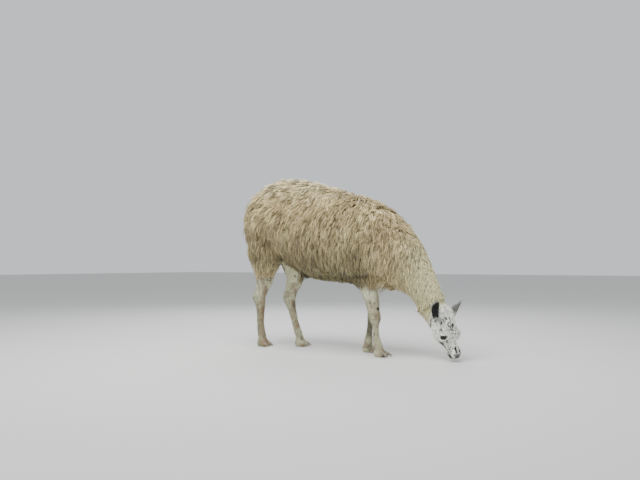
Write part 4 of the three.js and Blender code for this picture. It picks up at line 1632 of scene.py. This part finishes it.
def leg_colour(board, root, fleck):
    stain = board.step(board.grain(root, STAINS, 3.0), 0.42, 0.62)
    # The brown marks add painted shade in the grooves before the tendons.
    stain = board.most(board.times(stain, board.read("stain")), board.read("brown"))
    legs = board.mix(board.read("grime"), LEG_WHITE, LEG_GRIME)
    return board.mix(fleck, board.mix(stain, legs, LEG_STAIN_AND_SHADE), FLECK)


def markings(board):
    """The colour of the animal."""
    root = board.read("root", "Vector")
    ear = board.read("ear")
    fleck = board.times(spots(board, root), board.most(board.read("flecked"), ear))
    face = board.mix(board.times(ear, 0.4), FACE_WHITE, EAR_GREY)
    face = board.mix(board.times(fleck, 0.96), face, FLECK)
    colour = board.mix(board.read("leg"), wool_colour(board, root), leg_colour(board, root, fleck))
    colour = board.mix(board.read("face"), colour, face)
    colour = board.mix(board.read("dark"), colour, BARE_DARK)
    return board.mix(board.read("inner"), colour, BARE_DARK)


print("colours of wool, legs and face set")

# %% Finishes of skin and coat
FIBRES = (2600, 260, 1)  # fine streaks across and along each lock's own patch of the map
TIP_LIGHT = 1.18  # painted light: how light the end of a lock is
SHADES = (0.56, 1.36)  # how light the darkest and the lightest locks are
NECK_CALM = 0.4  # the share of that contrast which is left on the neck
BACK_BOLD = 0.6  # and how much more of it the bleached top of the back has, where it is painted lighter
DARKEST = 0.2
WOOL_ROOT_SHADE, HAIR_ROOT_SHADE = 0.56, 0.9  # painted shade: how light the root of a lock of wool and of a tuft is
SKIN_SHADE = 0.72  # painted shade: how light the skin under wool is


def coat_look(board, root_shade):
    # Painted shade and light: each lock darkens towards its root, deep in the coat, and lightens at its
    # tip.
    amount = board.times(
        board.step(board.read("along"), 0.2, 0.95, root_shade, TIP_LIGHT),
        board.step(board.read("shade"), 0.0, 1.0, *SHADES),
    )
    calm = board.step(board.read("neck"), 0.0, 1.0, 1.0, NECK_CALM)
    # The painted lit top of the back keeps more of the contrast of the locks.
    calm = board.sum("ADD", calm, board.times(board.read("bleached_and_lit"), BACK_BOLD))
    amount = board.sum("ADD", board.times(board.sum("SUBTRACT", amount, 1.0), calm), 1.0)
    patch = board.add("UVMap", {}, uv_map="OFBake")[0]
    streaks = board.grain(board.vectors("MULTIPLY", patch, FIBRES), 1.0, 1.0)
    amount = board.times(board.most(amount, DARKEST), board.step(streaks, 0.36, 0.62, 0.74, 1.12))
    return {
        "Base Color": board.vectors("SCALE", markings(board), amount),
        "Roughness": 0.85, "Specular IOR Level": 0.25, "Sheen Weight": 0.25, "Sheen Roughness": 0.5,
    }


def skin_look(board):
    # Painted shade: the skin is darker where wool lies over it.
    wool = board.sum("SUBTRACT", 1.0, board.most(board.read("face"), board.read("leg")))
    amount = board.step(wool, 0.0, 1.0, 1.0, SKIN_SHADE)
    hair = board.grain(board.read("root", "Vector"), 420.0, 3.0, 0.7)
    bump = board.add("Bump", {"Strength": 0.6, "Distance": 0.0012, "Height": hair})[0]
    return {
        "Base Color": board.vectors("SCALE", markings(board), amount),
        "Roughness": 0.8, "Specular IOR Level": 0.3, "Normal": bump,
    }


fleece_finish = new_finish("wool", lambda board: coat_look(board, WOOL_ROOT_SHADE))
short_finish = new_finish("short hair", lambda board: coat_look(board, HAIR_ROOT_SHADE))
skin_finish = new_finish("skin", skin_look)
print("skin finish has", len(skin_finish.node_tree.nodes), "nodes")

# %% Finishes of eyes, lid rims and nails
def plain_finish(name, colour, roughness, coat_weight=0.0):
    inputs = {
        "Base Color": colour, "Roughness": roughness, "Specular IOR Level": 0.28,
        "Coat Weight": coat_weight, "Coat Roughness": 0.03,
    }
    return new_finish(name, lambda board: inputs)


def dress(pieces, finish):
    for piece in pieces:
        piece.data.materials.clear()
        piece.data.materials.append(finish)


dress([skin], skin_finish)
dress([piece for piece in coat if "wool" in piece.name], fleece_finish)
dress([piece for piece in coat if "hair" in piece.name], short_finish)
dress(eyes.values(), plain_finish("wet eye", (0.012, 0.008, 0.005, 1), 0.08, coat_weight=0.12))
dress(rims, plain_finish("bare dark lid", (0.022, 0.019, 0.018, 1), 0.45))
dress([nail for nail, _ in nails], plain_finish("worn horn", (0.25, 0.225, 0.18, 1), 0.55))
print("finishes", [material.name for material in bpy.data.materials])

# %% [markdown]
# The animal is one body with no joints, so every piece rides on the root. The skin stands for all the
# nodes of flesh and the ears, each eyeball for its eye and each nail for its own node.

# %% Pieces and the nodes that they stand for
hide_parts(*FLESH, *EARS)
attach(skin, "root")
for piece in coat:
    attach(piece, "root")
for name, ball in eyes.items():
    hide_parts(f"eye_{name}")
    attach(ball, "root")
for rim in rims:
    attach(rim, "root")
for nail, node in nails:
    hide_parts(node)
    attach(nail, "root")
print("pieces", 1 + len(coat) + len(eyes) + len(rims) + len(nails))

# %% [markdown]
# The stage is a plain pale floor under soft, pale light from above, as under a bright grey sky.

# %% Floor and light
SKY_COLOUR = (0.80, 0.83, 0.86, 1)
SKY_STRENGTH = 0.95

choose()
bpy.ops.mesh.primitive_plane_add(size=60)
floor = bpy.context.object
floor.name = "floor"
dress([floor], plain_finish("pale floor", (0.62, 0.62, 0.60, 1), 0.9))
floor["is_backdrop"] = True

world = bpy.data.worlds.new("soft sky")
world.use_nodes = True
sky = world.node_tree.nodes["Background"]
sky.inputs["Color"].default_value = SKY_COLOUR
sky.inputs["Strength"].default_value = SKY_STRENGTH
bpy.context.scene.world = world


def soft_light(name, place, target, size, power):
    """A square lamp that faces its target."""
    bpy.ops.object.light_add(type="AREA", location=place)
    lamp = bpy.context.object
    lamp.name = name
    lamp.data.size = size
    lamp.data.energy = power
    lamp.rotation_euler = (Vector(target) - Vector(place)).to_track_quat("-Z", "Y").to_euler()
    return lamp


lamps = [
    soft_light("sky light", (-0.15, -1.35, 3.6), (0, 0, 0.6), size=2.6, power=202),
    soft_light("back light", (-2.0, 2.4, 3.0), (0, 0, 0.7), size=2.2, power=85),
]
print("lamps", [lamp.name for lamp in lamps])

# %% Camera
VIEW_AZIMUTH = math.radians(33)
VIEW_PLACE = (2.1162, -3.551, 0.564)
SENSOR_WIDTH = 36
FOCAL_LENGTH = 36
IMAGE_WIDTH = 640
HORIZON_RAISED = 24  # how far above the middle of the image the horizon lies, in pixels

bpy.ops.object.camera_add(location=VIEW_PLACE, rotation=(math.pi / 2, 0, VIEW_AZIMUTH))
camera = bpy.context.object
camera.name = "camera"
camera.data.sensor_width = SENSOR_WIDTH
camera.data.lens = FOCAL_LENGTH
camera.data.shift_y = HORIZON_RAISED / IMAGE_WIDTH
camera.data.clip_end = 200
bpy.context.scene.camera = camera
print("camera", round(camera.location.length, 2), "m from the middle of the floor")

# %% Sizes and the end
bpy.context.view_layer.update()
total = sum(len(triangles_of(o.data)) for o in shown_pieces() if o.type == "MESH")
print("triangles in all", total)
